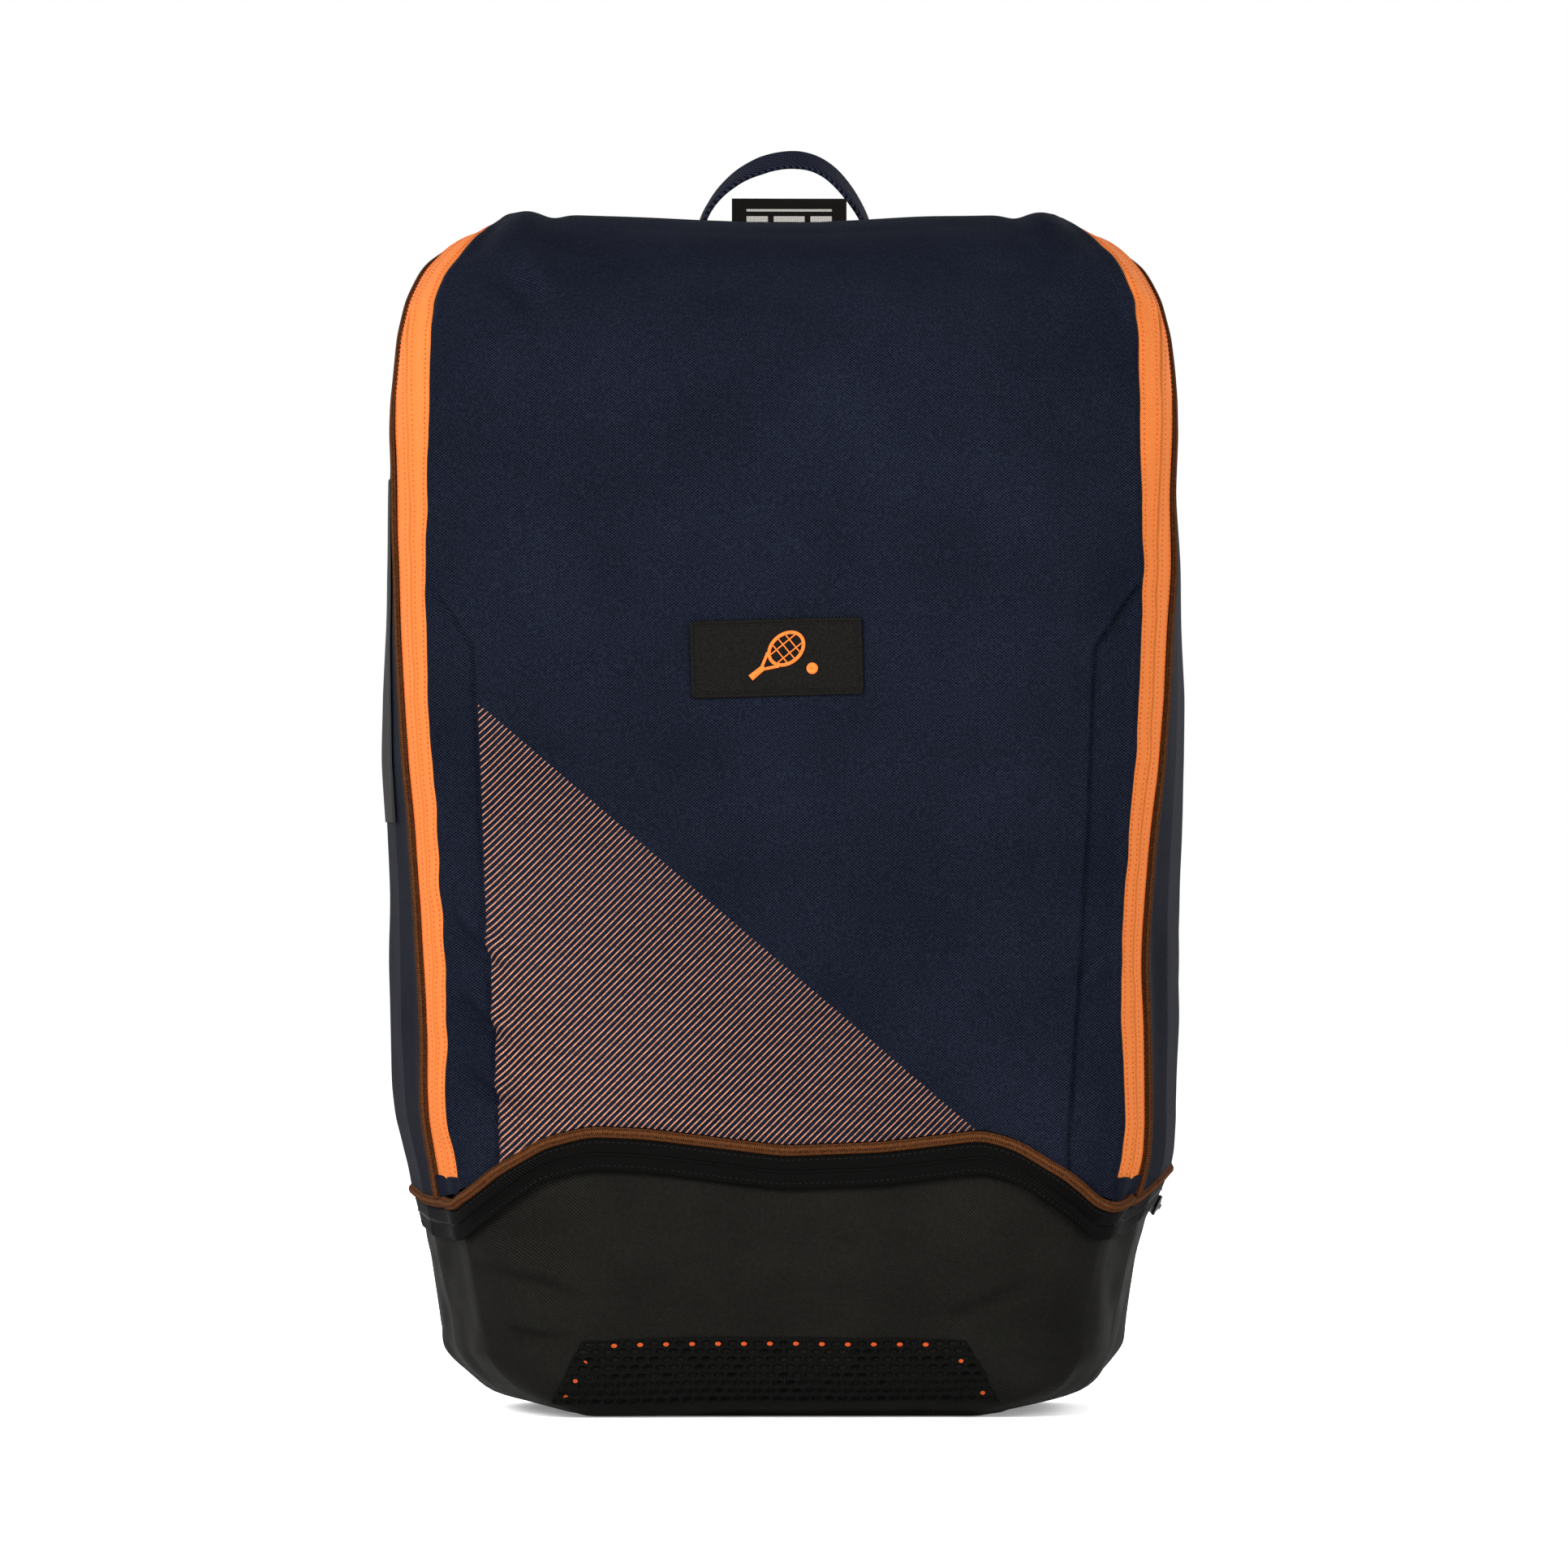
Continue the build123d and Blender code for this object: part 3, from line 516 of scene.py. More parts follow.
def knitted(name, dark, light, stitch=0.95, depth=0.2):
    """Piping: rows of small v-shaped knit stitches along a cord."""
    f = Finish(name)
    slant = f.math("ABSOLUTE", f.math("SUBTRACT", f.math("FRACT", f.math("MULTIPLY", f.u, 500.0)), 0.5))
    rib = f.wave(f.math("MULTIPLY_ADD", slant, 0.0012, f.v), stitch)
    column = f.wave(f.u, 2.0)
    height = f.math("ADD", f.math("MULTIPLY", rib, 0.7), f.math("MULTIPLY", column, 0.5))
    tone = f.math("ADD", f.between(height, -1.0, 1.0, 0.0, 0.8),
                  f.between(f.noise(1.0, 1.0), 0.35, 0.75, 0.0, 0.3))
    return f.finish(f.mix(tone, rgb(*dark), rgb(*light)), 0.9, height, depth)


def ribbed(name, dark, light, rib=1.1, pick=0.8, roughness=0.7, depth=0.22, diagonal=0.0):
    """Webbing and label cloth: ribs along the length with small picks across."""
    f = Finish(name)
    along = f.wave(f.math("MULTIPLY_ADD", f.v, diagonal, f.u), rib)
    across = f.wave(f.v, pick)
    height = f.math("MULTIPLY_ADD", across, 0.4, along)
    colour = f.mix(f.between(height, -1.1, 1.3), rgb(*dark), rgb(*light))
    return f.finish(colour, roughness, height, depth)


def plain(name, colour, roughness=0.5, grain=None, depth=0.05, metallic=0.0, spread=0.15):
    """A moulded or coated surface with a fine even grain."""
    f = Finish(name)
    base = rgb(*colour)
    pale = tuple(min(1.0, v * (1 + spread) + spread * 0.01) for v in base[:3]) + (1.0,)
    dark = tuple(v * (1 - spread) for v in base[:3]) + (1.0,)
    mottle = f.noise(grain or 2.0, 3.0)
    return f.finish(f.mix(f.between(mottle, 0.3, 0.7), dark, pale), roughness, mottle, depth, metallic)


def coated(name, dark, light, roughness, pitch=1.3, depth=0.07):
    """Coated base cloth with a fine diagonal grain."""
    f = Finish(name)
    grain = f.wave(f.math("ADD", f.u, f.v), pitch)
    other = f.wave(f.math("SUBTRACT", f.u, f.v), pitch * 0.77)
    height = f.math("ADD", f.math("MULTIPLY_ADD", other, 0.5, grain), f.math("MULTIPLY", f.noise(1.6, 2.0), 1.5))
    tone = f.math("MULTIPLY", f.between(height, -1.0, 2.6), f.between(f.noise(35, 2.0), 0.3, 0.7, 0.8, 1.1))
    return f.finish(f.mix(tone, rgb(*dark), rgb(*light)), roughness, height, depth)


NAVY = oxford("navy_cloth", (3, 4, 11), (37, 42, 57))
NAVY_FRONT = oxford("navy_cloth_printed", (3, 4, 11), (37, 42, 57), hatch=True)
NAVY_SIDE = oxford("navy_side_cloth", (4, 5, 11), (33, 36, 48), roughness=0.65)
BACK_CLOTH = oxford("black_back_cloth", (10, 10, 11), (46, 46, 48))
LINING = oxford("grey_lining_cloth", (62, 63, 67), (98, 99, 104), across=0.4, along=0.4, roughness=0.6,
                depth=0.05)
ORANGE_TAPE = twill("orange_tape", (210, 94, 36), (254, 160, 86), pitch=1.15)
BLACK_TAPE = twill("black_tape", (3, 3, 3), (22, 21, 20), pitch=1.3, half=3.9)
PIPING = knitted("copper_knit", (22, 11, 4), (112, 68, 40))
STITCH = plain("orange_thread", (214, 84, 34), 0.55, 0.6)
DARK_STITCH = plain("dark_thread", (26, 26, 28), 0.5, 0.6)
# Painted shadow: the main zip's coil is coloured dark brown as the shade in the slit between the tapes
COIL_SLIT_SHADOW = plain("slit_shadow", (58, 20, 14), 0.7, 1.0)
BLACK_COIL = plain("black_coil", (14, 14, 14), 0.45, 1.0)
BASE_CLOTH = coated("charcoal_cloth", (7, 7, 6), (38, 37, 34), 0.55)
COATED_SIDE = plain("coated_side", (30, 29, 30), 0.5, 3.0, 0.06)
MESH_CLOTH = ribbed("mesh_knit", (4, 4, 4), (32, 32, 31), rib=0.8, pick=0.6, roughness=0.6, depth=0.15)
PAD_MESH = ribbed("pad_mesh", (12, 12, 13), (52, 52, 54), rib=2.4, pick=2.0, roughness=0.8, depth=0.6)
RUBBER = plain("patch_rubber", (20, 19, 17), 0.5, 0.9, 0.03)
EYE = plain("eye_lining", (190, 78, 36), 0.6, 0.6)
EMBLEM = plain("emblem_rubber", (250, 125, 55), 0.5, 0.9, 0.03)
LABEL = ribbed("label_cloth", (10, 10, 9), (34, 33, 31), rib=0.6, pick=0.5, depth=0.08)
LABEL_MARK = ribbed("label_thread", (150, 148, 144), (215, 213, 208), rib=0.6, pick=0.5, depth=0.08)
NAVY_WEB = ribbed("navy_web", (8, 10, 19), (50, 53, 70), rib=1.5, pick=1.1, depth=0.3, diagonal=0.5)
BLACK_WEB = ribbed("black_web", (10, 10, 10), (50, 50, 50), rib=1.5, pick=1.1, depth=0.3, diagonal=0.5)
GUNMETAL = plain("gunmetal_finish", (88, 86, 84), 0.32, 2.0, 0.01, metallic=1.0)
PLASTIC = plain("plastic_finish", (20, 20, 21), 0.42, 1.2, 0.015)
BOARD = plain("board_finish", (30, 30, 32), 0.8, 2.0)
FOAM = plain("foam_finish", (66, 66, 70), 0.95, 1.2, 0.2)


# ---------------------------------------------------------------- laying cloth on the form
def crease(p, start, end, width, depth):
    """A soft fold along a line across the front, raised on one side and sunk on the other."""
    start, end = np.array(start, float), np.array(end, float)
    way = end - start
    length = np.linalg.norm(way)
    way /= length
    a, b = p[..., 0] - start[0], p[..., 2] - start[1]
    along, off = a * way[0] + b * way[1], b * way[0] - a * way[1]
    off = off + 1.5 * np.sin(along / 9.0)
    fade = np.clip(along / (0.3 * length), 0, 1) * np.clip((length - along) / (0.45 * length), 0, 1)
    fade = fade * fade * (3 - 2 * fade)
    ridge, hollow = gauss(off - width, width), gauss(off + 0.5 * width, 0.8 * width)
    return depth * fade * (ridge - hollow) * (p[..., 1] < -40)


# Folds on the front and the base: start (x, z), end (x, z), width and depth, summed row by row
CREASES = [
    [(-134, 70, -72, 44, 4.0, 2.4), (-118, 40, -86, 33, 3.0, 1.8)],
    [(60, 42, 112, 58, 4.5, 1.8), (-60, 92, 10, 70, 7.0, 1.0), (88, 33, 120, 22, 3.0, 1.2)],
    [(-139, 214, -112, 180, 3.0, 3.0), (-137, 182, -108, 148, 3.0, 3.2)],
    [(-134, 150, -104, 122, 2.6, 2.8), (138, 196, 112, 168, 3.0, 1.3)],
    [(-128, 486, -84, 452, 5.0, 2.0), (-112, 494, -96, 430, 5.0, 1.6)],
    [(126, 487, 88, 455, 5.0, 1.8), (60, 486, 108, 470, 5.0, 1.2)]]


def relief(p):
    """How far the cloth stands out from the form, from stuffing, seams and the pull of the zips."""
    x, y, z = p[..., 0], p[..., 1], p[..., 2]
    lift = 1.3 * noise(p, 70, 1) + 0.5 * noise(p, 27, 2)
    crest = np.clip((z - 470) / 25, 0, 1) * np.clip((y + 70) / 30, 0, 1)
    lift += crest * (-3.2 * gauss(x, 62) + 3.6 * gauss(np.abs(x) - 109, 8) - 1.8 * gauss(np.abs(x) - 97, 4))
    # The zip's run over the roof is held level, because its sliders run straight
    level = np.interp(np.abs(x), [14, 30, 50, 70, 85, 99, 106, 112, 120, 132],
                      [0, 0.5, 1.3, 2.2, 2.7, 2.5, 4.7, 4.9, 2.9, 0])
    lift -= level * gauss(y - 27, 10) * np.clip((z - 478) / 8, 0, 1)
    near_zip = gauss(np.abs(x) - 146, 14) * np.clip((-60 - y) / 25, 0, 1) * np.clip((450 - z) / 60, 0, 1)
    lift += 0.8 * near_zip * noise(p * np.array([0.4, 0.4, 1.0]), 11, 3)
    corner = gauss(np.abs(x) - 112, 26) * gauss(z - 140, 42) * np.clip((-70 - y) / 20, 0, 1)
    slant = (z + np.where(x < 0, 0.7, -0.7) * x) / 16
    lift += corner * (1.6 * np.sin(slant + 1.5 * noise(p, 40, 4)) * np.where(x < 0, 1.0, 0.55))
    for row in CREASES:
        lift += sum(crease(p, (x0, z0), (x1, z1), width, depth) for x0, z0, x1, z1, width, depth in row)
    base = np.clip((95 - z) / 30, 0, 1) * np.clip((z - 5) / 14, 0, 1)
    lift += base * (1.7 * noise(p * np.array([1.0, 1.0, 0.8]), 30, 5) + 0.7 * noise(p, 13, 6))
    return lift


def raised(p, lift):
    """Points already on the form, lifted off it with the cloth's own relief."""
    return p + normals(p) * (relief(p) + np.asarray(lift))[..., None]


def laid(p, lift=0.0):
    """Points put on the form and raised above the cloth by lift."""
    return raised(on_form(p), lift)


def seam_x(z):
    """Half the distance between the two darts that shape the front, by height."""
    return np.interp(z, [80, 117, 183, 250, 318, 352], [117, 117, 122, 125.5, 128, 151])


def down_to_wave(edge, y):
    """Carries a side line down from its foot to the wave of piping."""
    foot = edge[0]
    z = np.linspace(foot[2], wave_z(foot[0]), 14)[1:]
    return on_form(np.stack([np.full_like(z, foot[0]), np.full_like(z, y), z], -1))


def whole_edge(edge):
    """A line beside the zip with both its feet carried down to the wave."""
    right = down_to_wave(edge, edge[0, 1])
    left = down_to_wave(edge[::-1], edge[-1, 1])
    return np.concatenate([right[::-1], edge, left])


flap_line = whole_edge(flap_edge)
body_line = whole_edge(body_edge)


def part_of(line, start, end, count):
    """The stretch of a line between two of its points, spaced evenly."""
    stretch = line[start:end + 1] if end >= start else line[end:start + 1][::-1]
    return resample(stretch, count)


def distance_to(line, points):
    """How far each point is from a line, within 30 mm."""
    line = resample(line, 1400)
    tree = KDTree(len(line))
    for k, place in enumerate(line):
        tree.insert(place, k)
    tree.balance()
    flat = [tree.find(place)[2] for place in points.reshape(-1, 3)]
    return np.minimum(np.array(flat).reshape(points.shape[:-1]), 30.0)


# Front panel: one sheet inside the zip, from the wave of piping over the crest to the roof
CURL_Y, CURL_Z, CURL_R = -8.0, 404.0, 95.0


def front_map(p):
    """Flat places on the front: width, and length up the front and on over the crest."""
    over = np.clip(np.arctan2(p[..., 2] - CURL_Z, CURL_Y - p[..., 1]), 0, None)
    return np.stack([p[..., 0], np.where(p[..., 2] < CURL_Z, p[..., 2], CURL_Z + CURL_R * over)], -1)


def front_place(flat):
    """Points on the form for flat places on the front."""
    x, v = flat[..., 0], flat[..., 1]
    over = np.clip((v - CURL_Z) / CURL_R, 0, None)
    start = np.stack([x, np.full_like(x, CURL_Y), np.minimum(v, CURL_Z)], -1)
    return cast(start, np.stack([0 * x, -np.cos(over), np.sin(over)], -1), 200)


quick_step = 1
turn = 60 + int(np.argmin(np.abs(flap_line[60:760, 1] + 14)))
last = len(flap_line) - 1 - turn
ROWS, COLUMNS = 520 // quick_step, 330 // quick_step
right = front_map(part_of(flap_line, 0, turn, ROWS))
left = front_map(part_of(flap_line, len(flap_line) - 1, last, ROWS))
top = front_map(part_of(flap_line, last, turn, COLUMNS))
x = np.linspace(left[0, 0], right[0, 0], COLUMNS)
bottom = np.stack([x, wave_z(x) + 0.5], -1)
bottom[0], bottom[-1] = left[0], right[0]
front_uv = coons(bottom, top, left, right)
front = front_place(front_uv)
edge_distance = distance_to(flap_line, front)
dart = np.abs(np.abs(front[..., 0]) - seam_x(front[..., 2]))
on_front = (front[..., 2] < 352) & (front[..., 1] < -60)
seam_pull = gauss(noise(front, 9, 11), 0.8)
outside = np.abs(front[..., 0]) - seam_x(front[..., 2])
ridge = 0.9 * gauss(outside + 1.2, 2.2) * (0.55 + 0.5 * seam_pull)
step = np.where(outside > 0, -1.3 * gauss(outside, 5.0), ridge)
fade = np.clip((354 - front[..., 2]) / 10, 0, 1) * np.clip(edge_distance / 5, 0, 1)
lift = np.where(on_front, step - 1.5 * gauss(dart, 0.7), 0) * fade
lift += -0.9 * gauss(edge_distance, 0.9) + 0.9 * gauss(edge_distance - 3.2, 2.2)
lift += 0.5 * noise(front * np.array([1, 1, 0.45]), 8, 12) * gauss(edge_distance - 5, 7)
front_points = laid(front, lift)
front_cloth = sheet_object("front_cloth", front_points, uv=front_uv)
front_cloth.data.materials.append(NAVY_FRONT)
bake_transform(front_cloth)
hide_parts("front_panel", "front_gusset_left", "front_gusset_right", "front_hinge_band")

inner = front_points[::3, ::3] - normals(on_form(front_points[::3, ::3])) * 3.0
front_inside = sheet_object("front_lining_cloth", inner)
front_inside.data.materials.append(LINING)
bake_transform(front_inside)
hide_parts("front_lining")


# ---------------------------------------------------------------- zips
def ribbon(path, offsets, lifts):
    """A strip beside a path: offsets towards the front flap, each with its height above the cloth."""
    return np.stack([laid(beside(path, offset), height) for offset, height in zip(offsets, lifts)], 1)


# One stitch as a low diamond: its foot in the cloth, then its crown, in shares of its size
STITCH_POINTS = [(-0.5, 0, -0.3), (-0.28, 0.5, -0.3), (0.28, 0.5, -0.3), (0.5, 0, -0.3), (0.28, -0.5, -0.3),
                 (-0.28, -0.5, -0.3), (-0.3, 0, 0.6), (0, 0.26, 1.0), (0.3, 0, 0.6), (0, -0.26, 1.0)]
STITCH_FACETS = [(0, 1, 6), (1, 7, 6), (1, 2, 7), (2, 8, 7), (2, 3, 8), (3, 4, 8), (4, 9, 8), (4, 5, 9),
                 (5, 6, 9), (5, 0, 6), (6, 7, 8), (6, 8, 9)]


def dashes(name, line, pitch, length, width, height, normal_at=None, thread=DARK_STITCH):
    """A row of stitches along a line."""
    line = resample(line, max(4, int(np.linalg.norm(np.diff(line, axis=0), axis=1).sum() / 1.0)))
    span = lengths_along(line)
    at = np.arange(pitch, span[-1] - pitch, pitch)
    centre = np.stack([np.interp(at, span, line[:, k]) for k in range(3)], -1)
    ahead = unit(np.stack([np.interp(at + 0.5, span, line[:, k]) for k in range(3)], -1) - centre)
    up = normals(on_form(centre)) if normal_at is None else np.broadcast_to(normal_at, centre.shape)
    side = unit(np.cross(up, ahead))
    shape = np.array(STITCH_POINTS) * [length, width, height]
    points = centre[:, None]
    for k, way in enumerate((ahead, side, up)):
        points = points + way[:, None] * shape[:, k, None]
    faces = np.array(STITCH_FACETS)[None] + len(shape) * np.arange(len(at))[:, None, None]
    row = make_object(name, points.reshape(-1, 3), faces.reshape(-1, 3)[:, ::-1], np.zeros((points.size // 3, 2)))
    row.data.materials.append(thread)
    return row


def join(name, objects):
    """One mesh object from several, with their materials side by side."""
    for obj in bpy.context.selected_objects:
        obj.select_set(False)
    for obj in objects:
        obj.select_set(True)
    bpy.context.view_layer.objects.active = objects[0]
    bpy.ops.object.join()
    objects[0].name = name
    objects[0].data.name = name
    return objects[0]


zip_path = blurred(chain, 3)
# On the sides the slit lies in front of the band's middle; over the roof it is central
SLIT = 3.4 * np.clip((415 - zip_path[:, 2]) / 60, 0, 1)[:, None]
FRONT_BAND, REAR_BAND = 15.9, 15.6


def from_slit(distance):
    """A distance across the band, with its middle moved to the slit and its edges kept."""
    return distance + SLIT * (1 - abs(distance) / (FRONT_BAND if distance > 0 else REAR_BAND))


flap_ribbon = ribbon(zip_path, [from_slit(d) for d in (FRONT_BAND, 15.2, 14.4, 12.5, 9, 5, 2.6, 1.5, 1.0, 0.8)],
                     [-0.9, -0.3, 0.1, 0.25, 0.3, 0.35, 0.55, 0.8, 0.4, -0.8])
body_ribbon = ribbon(zip_path, [from_slit(d) for d in (-0.8, -1.0, -1.5, -2.6, -5, -9, -12.5, -14.6, -REAR_BAND)],
                     [-0.8, 0.4, 0.8, 0.55, 0.35, 0.3, 0.25, 0.1, -0.6])


def tape_seam(name, distance, lift, *stitch):
    """Orange stitches along one of the tapes, at a distance from the slit."""
    return dashes(name, laid(beside(zip_path, from_slit(distance)), lift), *stitch, thread=STITCH)


front_tape = sheet_object("orange_tape_front", flap_ribbon)
front_tape.data.materials.append(ORANGE_TAPE)
front_dashes = [tape_seam("stitch_a", 13.2, 0.3, 2.1, 1.3, 0.6, 0.4),
                tape_seam("stitch_b", 4.2, 0.4, 2.1, 1.3, 0.6, 0.4)]
front_tape = join("orange_tape_front", [front_tape, *front_dashes])
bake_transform(front_tape)
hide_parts("main_zip_front_tape")

rear_tape = sheet_object("orange_tape_rear", body_ribbon)
rear_tape.data.materials.append(ORANGE_TAPE)
rear_dashes = [tape_seam("stitch_c", -12.8, 0.3, 2.1, 1.5, 0.5, 0.35),
               tape_seam("stitch_d", -4.2, 0.4, 2.1, 1.3, 0.6, 0.4)]
rear_tape = join("orange_tape_rear", [rear_tape, *rear_dashes])
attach(rear_tape, "root")
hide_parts("main_zip_rear_tape")

# The main zip's coil, sunk into the slit, coloured as the slit's painted shadow
coil_line = laid(beside(zip_path, SLIT), -1.5)
coil = tube_object("main_coil", coil_line, 0.9, 8, normal=normals(on_form(coil_line)))
coil.data.materials.append(COIL_SLIT_SHADOW)
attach(coil, "root")
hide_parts("main_zip_coil")

# Navy cloth between the zip's squared ends and the base piping
ends = []
for front_side, rear_side in ((flap_line[:15], body_line[:15]), (flap_line[::-1][:15], body_line[::-1][:15])):
    t = np.linspace(-0.06, 1.0, 20)[None, :, None]
    a, b = resample(front_side, 30), resample(rear_side, 30)
    patch = a[:, None] * (1 - t) + b[:, None] * t
    fold = np.interp(np.arange(30), [0, 26, 28, 29], [0.3, 1.0, 0.9, -0.4])[:, None]
    ends.append(sheet_object("zip_end", laid(patch, fold + 0.7 * np.sin(t[..., 0] * 9))))
zip_ends = join("zip_end_patches", ends)
zip_ends.data.materials.append(NAVY)
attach(zip_ends, "root")
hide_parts("main_zip_lower_ends")

# Knitted piping behind the clamshell zip
piping_line = blurred(resample(laid(body_line, 0.9), 1500), 2)
piping_radius = np.interp(piping_line[:, 2], [100, 300, 460], [2.1, 1.7, 1.3])
zip_piping = tube_object("zip_piping_cord", piping_line, piping_radius, 14, normal=normals(on_form(piping_line)))
zip_piping.data.materials.append(PIPING)
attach(zip_piping, "root")
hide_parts("main_zip_piping")


# ---------------------------------------------------------------- sides, roof, back
BACK_EDGE_Y = 80.0


def back_outline():
    """The line where sides and roof meet the back panel, from the right foot round to the left."""
    z = np.linspace(wave_z(200.0), 440, 120)
    side = np.stack([np.full_like(z, 160.0), np.full_like(z, BACK_EDGE_Y), z], -1)
    turn = np.linspace(0, math.pi / 2, 60)[1:]
    corner = np.stack([115 + 45 * np.cos(turn), np.full(59, BACK_EDGE_Y), 440 + 48 * np.sin(turn)], -1)
    run = np.linspace(115, 0, 60)[1:]
    roof = np.stack([run, np.full(59, BACK_EDGE_Y), np.full(59, 488.0)], -1)
    half = on_form(np.concatenate([side, corner, roof]))
    return resample(np.concatenate([half, half[::-1][1:] * np.array([-1, 1, 1])]), 900)


back_line = back_outline()


def wave_line(y_from, y_to, side, count, drop=0.0):
    """Points along the wave of piping on one side wall."""
    y = np.linspace(y_from, y_to, count)
    x = np.full(count, 160.0 * side)
    for _ in range(3):
        p = on_form(np.stack([x, y, wave_z(x) - drop], -1))
        x = p[:, 0]
    return on_form(np.stack([x, y, wave_z(x) - drop], -1))


def strip_between(front_line, rear_line, rows, columns):
    """A grid between two long lines that run from right foot to left foot."""
    a, b = resample(front_line, rows), resample(rear_line, rows)
    t = np.linspace(0, 1, columns)[None, :, None]
    return a[:, None] * (1 - t) + b[:, None] * t


rows, columns = 900 // quick_step, 110 // quick_step


def hemmed(grid):
    """The strip with both its feet carried to the wave, just behind the piping."""
    middle = len(grid) // 2
    ends = (grid[0].copy(), slice(None, middle)), (grid[-1].copy(), slice(middle, None))
    for foot, half in ends:
        off = foot[:, 2] - wave_z(on_form(foot)[:, 0]) + 1.5
        grid[half, :, 2] -= off * np.clip(1 - (grid[half, :, 2] - foot[:, 2]) / 60, 0, 1)
    return grid


strip = hemmed(strip_between(body_line, back_line, rows, columns))
strip_points = on_form(strip)
from_piping = np.arange(columns)[None, :] * (150 / columns)
to_back = (columns - 1 - np.arange(columns))[None, :] * (150 / columns)
lift = -1.0 * gauss(from_piping, 1.4) + 0.8 * gauss(from_piping - 5, 3)
lift = lift - 0.8 * gauss(to_back, 1.5) + 0.6 * gauss(to_back - 5, 3)
lift = lift + 0.9 * noise(strip_points * np.array([1, 1, 0.5]), 15, 21) * gauss(from_piping - 6, 10)
side_cloth = sheet_object("side_and_roof_cloth", laid(strip, lift))
side_cloth.data.materials.append(NAVY_SIDE)
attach(side_cloth, "root")
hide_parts("side_panel_left", "side_panel_right", "roof_panel")

inside = on_form(hemmed(strip_between(whole_edge(zip_path), back_line, rows, columns)))
keep_rows, keep_columns = (np.unique(np.r_[0:n:every, n - 1]) for n, every in zip(inside.shape, (4, 3)))
inside = inside[keep_rows][:, keep_columns]
# Its foot hangs lower, over the edge of the divider
inside[..., 2] -= 6.0 * np.clip((118 - inside[..., 2]) / 12, 0, 1)
body_inside = sheet_object("body_lining_cloth", inside - normals(inside) * 4.0)
body_inside.data.materials.append(LINING)
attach(body_inside, "root")
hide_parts("body_lining")

# Coated area on the left side wall, with its two rear corners cut off
y, z = np.meshgrid(np.linspace(-40, 56, 60), np.linspace(246, 389, 90))
past_cut = np.clip(y - 34, 0, None)
y = y - np.where(z > 367, past_cut * (z - 367) / 22, 0) - np.where(z < 268, past_cut * (268 - z) / 22, 0)
area = laid(np.stack([np.full_like(y, -170.0), y, z], -1), 0.7)
coated_area = sheet_object("coated_area", area)
coated_area.data.materials.append(COATED_SIDE)
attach(coated_area, "root")
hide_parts("side_coated_panel")

# Back panel, with a bound seam round it
count = 220 // quick_step
half_turn = int(np.argmin(np.abs(back_line[:450, 2] - 455)))
b_right = part_of(back_line, 0, half_turn, count)
b_left = part_of(back_line, len(back_line) - 1, len(back_line) - 1 - half_turn, count)
b_top = part_of(back_line, len(back_line) - 1 - half_turn, half_turn, count)
x = np.linspace(b_left[0, 0], b_right[0, 0], count)
b_bottom = on_form(np.stack([x, np.full_like(x, 100.0), np.full_like(x, b_left[0, 2])], -1))
b_bottom[0], b_bottom[-1] = b_left[0], b_right[0]
back_grid = coons(b_bottom, b_top, b_left, b_right)
steps = np.arange(count)
edge = np.minimum(np.minimum(steps, steps[::-1])[None, :], steps[::-1][:, None]) * (320 / count)
back_cloth = sheet_object("back_cloth", laid(back_grid, -0.8 * gauss(edge, 1.5) + 0.7 * gauss(edge - 5, 3)))
back_cloth.data.materials.append(BACK_CLOTH)
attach(back_cloth, "root")
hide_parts("back_panel")


# ---------------------------------------------------------------- base
def base_ring(y_back, count, depth):
    """A line round the base at a depth below the wave: right side, front, left side."""
    right_side = wave_line(y_back, -62, 1, count // 4, depth)
    x = np.linspace(152, -152, count)
    guess_y = np.interp(np.abs(x), [0, 100, 141, 146, 152], [-104, -104, -92, -80, -70])
    across = on_form(np.stack([x, guess_y, wave_z(x) - depth], -1))
    left_side = wave_line(-62, y_back, -1, count // 4, depth)
    ring = resample(np.concatenate([right_side, across[4:-4], left_side]), 1200 // quick_step)
    return on_form(blurred(ring, 3))


wave_ring = base_ring(76, 400, 0.0)


def below(ring, depth):
    """The same line further down the wall."""
    p = ring.copy()
    for _ in range(4):
        p = on_form(p - np.array([0, 0, depth / 4.0]))
    return p


def beside_wall(ring, depth, lift):
    """A line at a depth below the wave, lifted off the front but sunk into the side seams."""
    p = below(ring, depth)
    return laid(p, lift - np.interp(p[:, 1], [-74, -40], [0, 1.0]) * (1.0 + 0.7 * max(lift, 0)))


base_piping_line = blurred(beside_wall(wave_ring, 2.1, 1.0), 2)
base_piping = tube_object("base_piping_cord", base_piping_line, 2.3, 16, normal=normals(on_form(base_piping_line)))
base_piping.data.materials.append(PIPING)
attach(base_piping, "root")
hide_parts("base_piping")

upper = np.stack([beside_wall(wave_ring, d, h) for d, h in
                  ((3.0, -0.5), (4.4, 0.9), (5.2, 1.5), (7.5, 1.7), (9.6, 1.7), (10.3, 1.6), (10.7, 0.6))], 1)
upper_tape = sheet_object("shoe_tape_upper", upper)
upper_tape.data.materials.append(BLACK_TAPE)
seam = dashes("stitch_e", beside_wall(wave_ring, 6.0, 1.6), 2.4, 1.7, 0.5, 0.3)
upper_tape = join("shoe_tape_upper", [upper_tape, seam])
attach(upper_tape, "root")
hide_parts("shoe_zip_upper_tape")

shoe_coil_line = beside_wall(wave_ring, 10.9, 0.2)
shoe_coil = tube_object("shoe_coil", shoe_coil_line, 0.8, 8, normal=normals(on_form(shoe_coil_line)))
shoe_coil.data.materials.append(BLACK_COIL)
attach(shoe_coil, "root")
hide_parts("shoe_zip_coil")

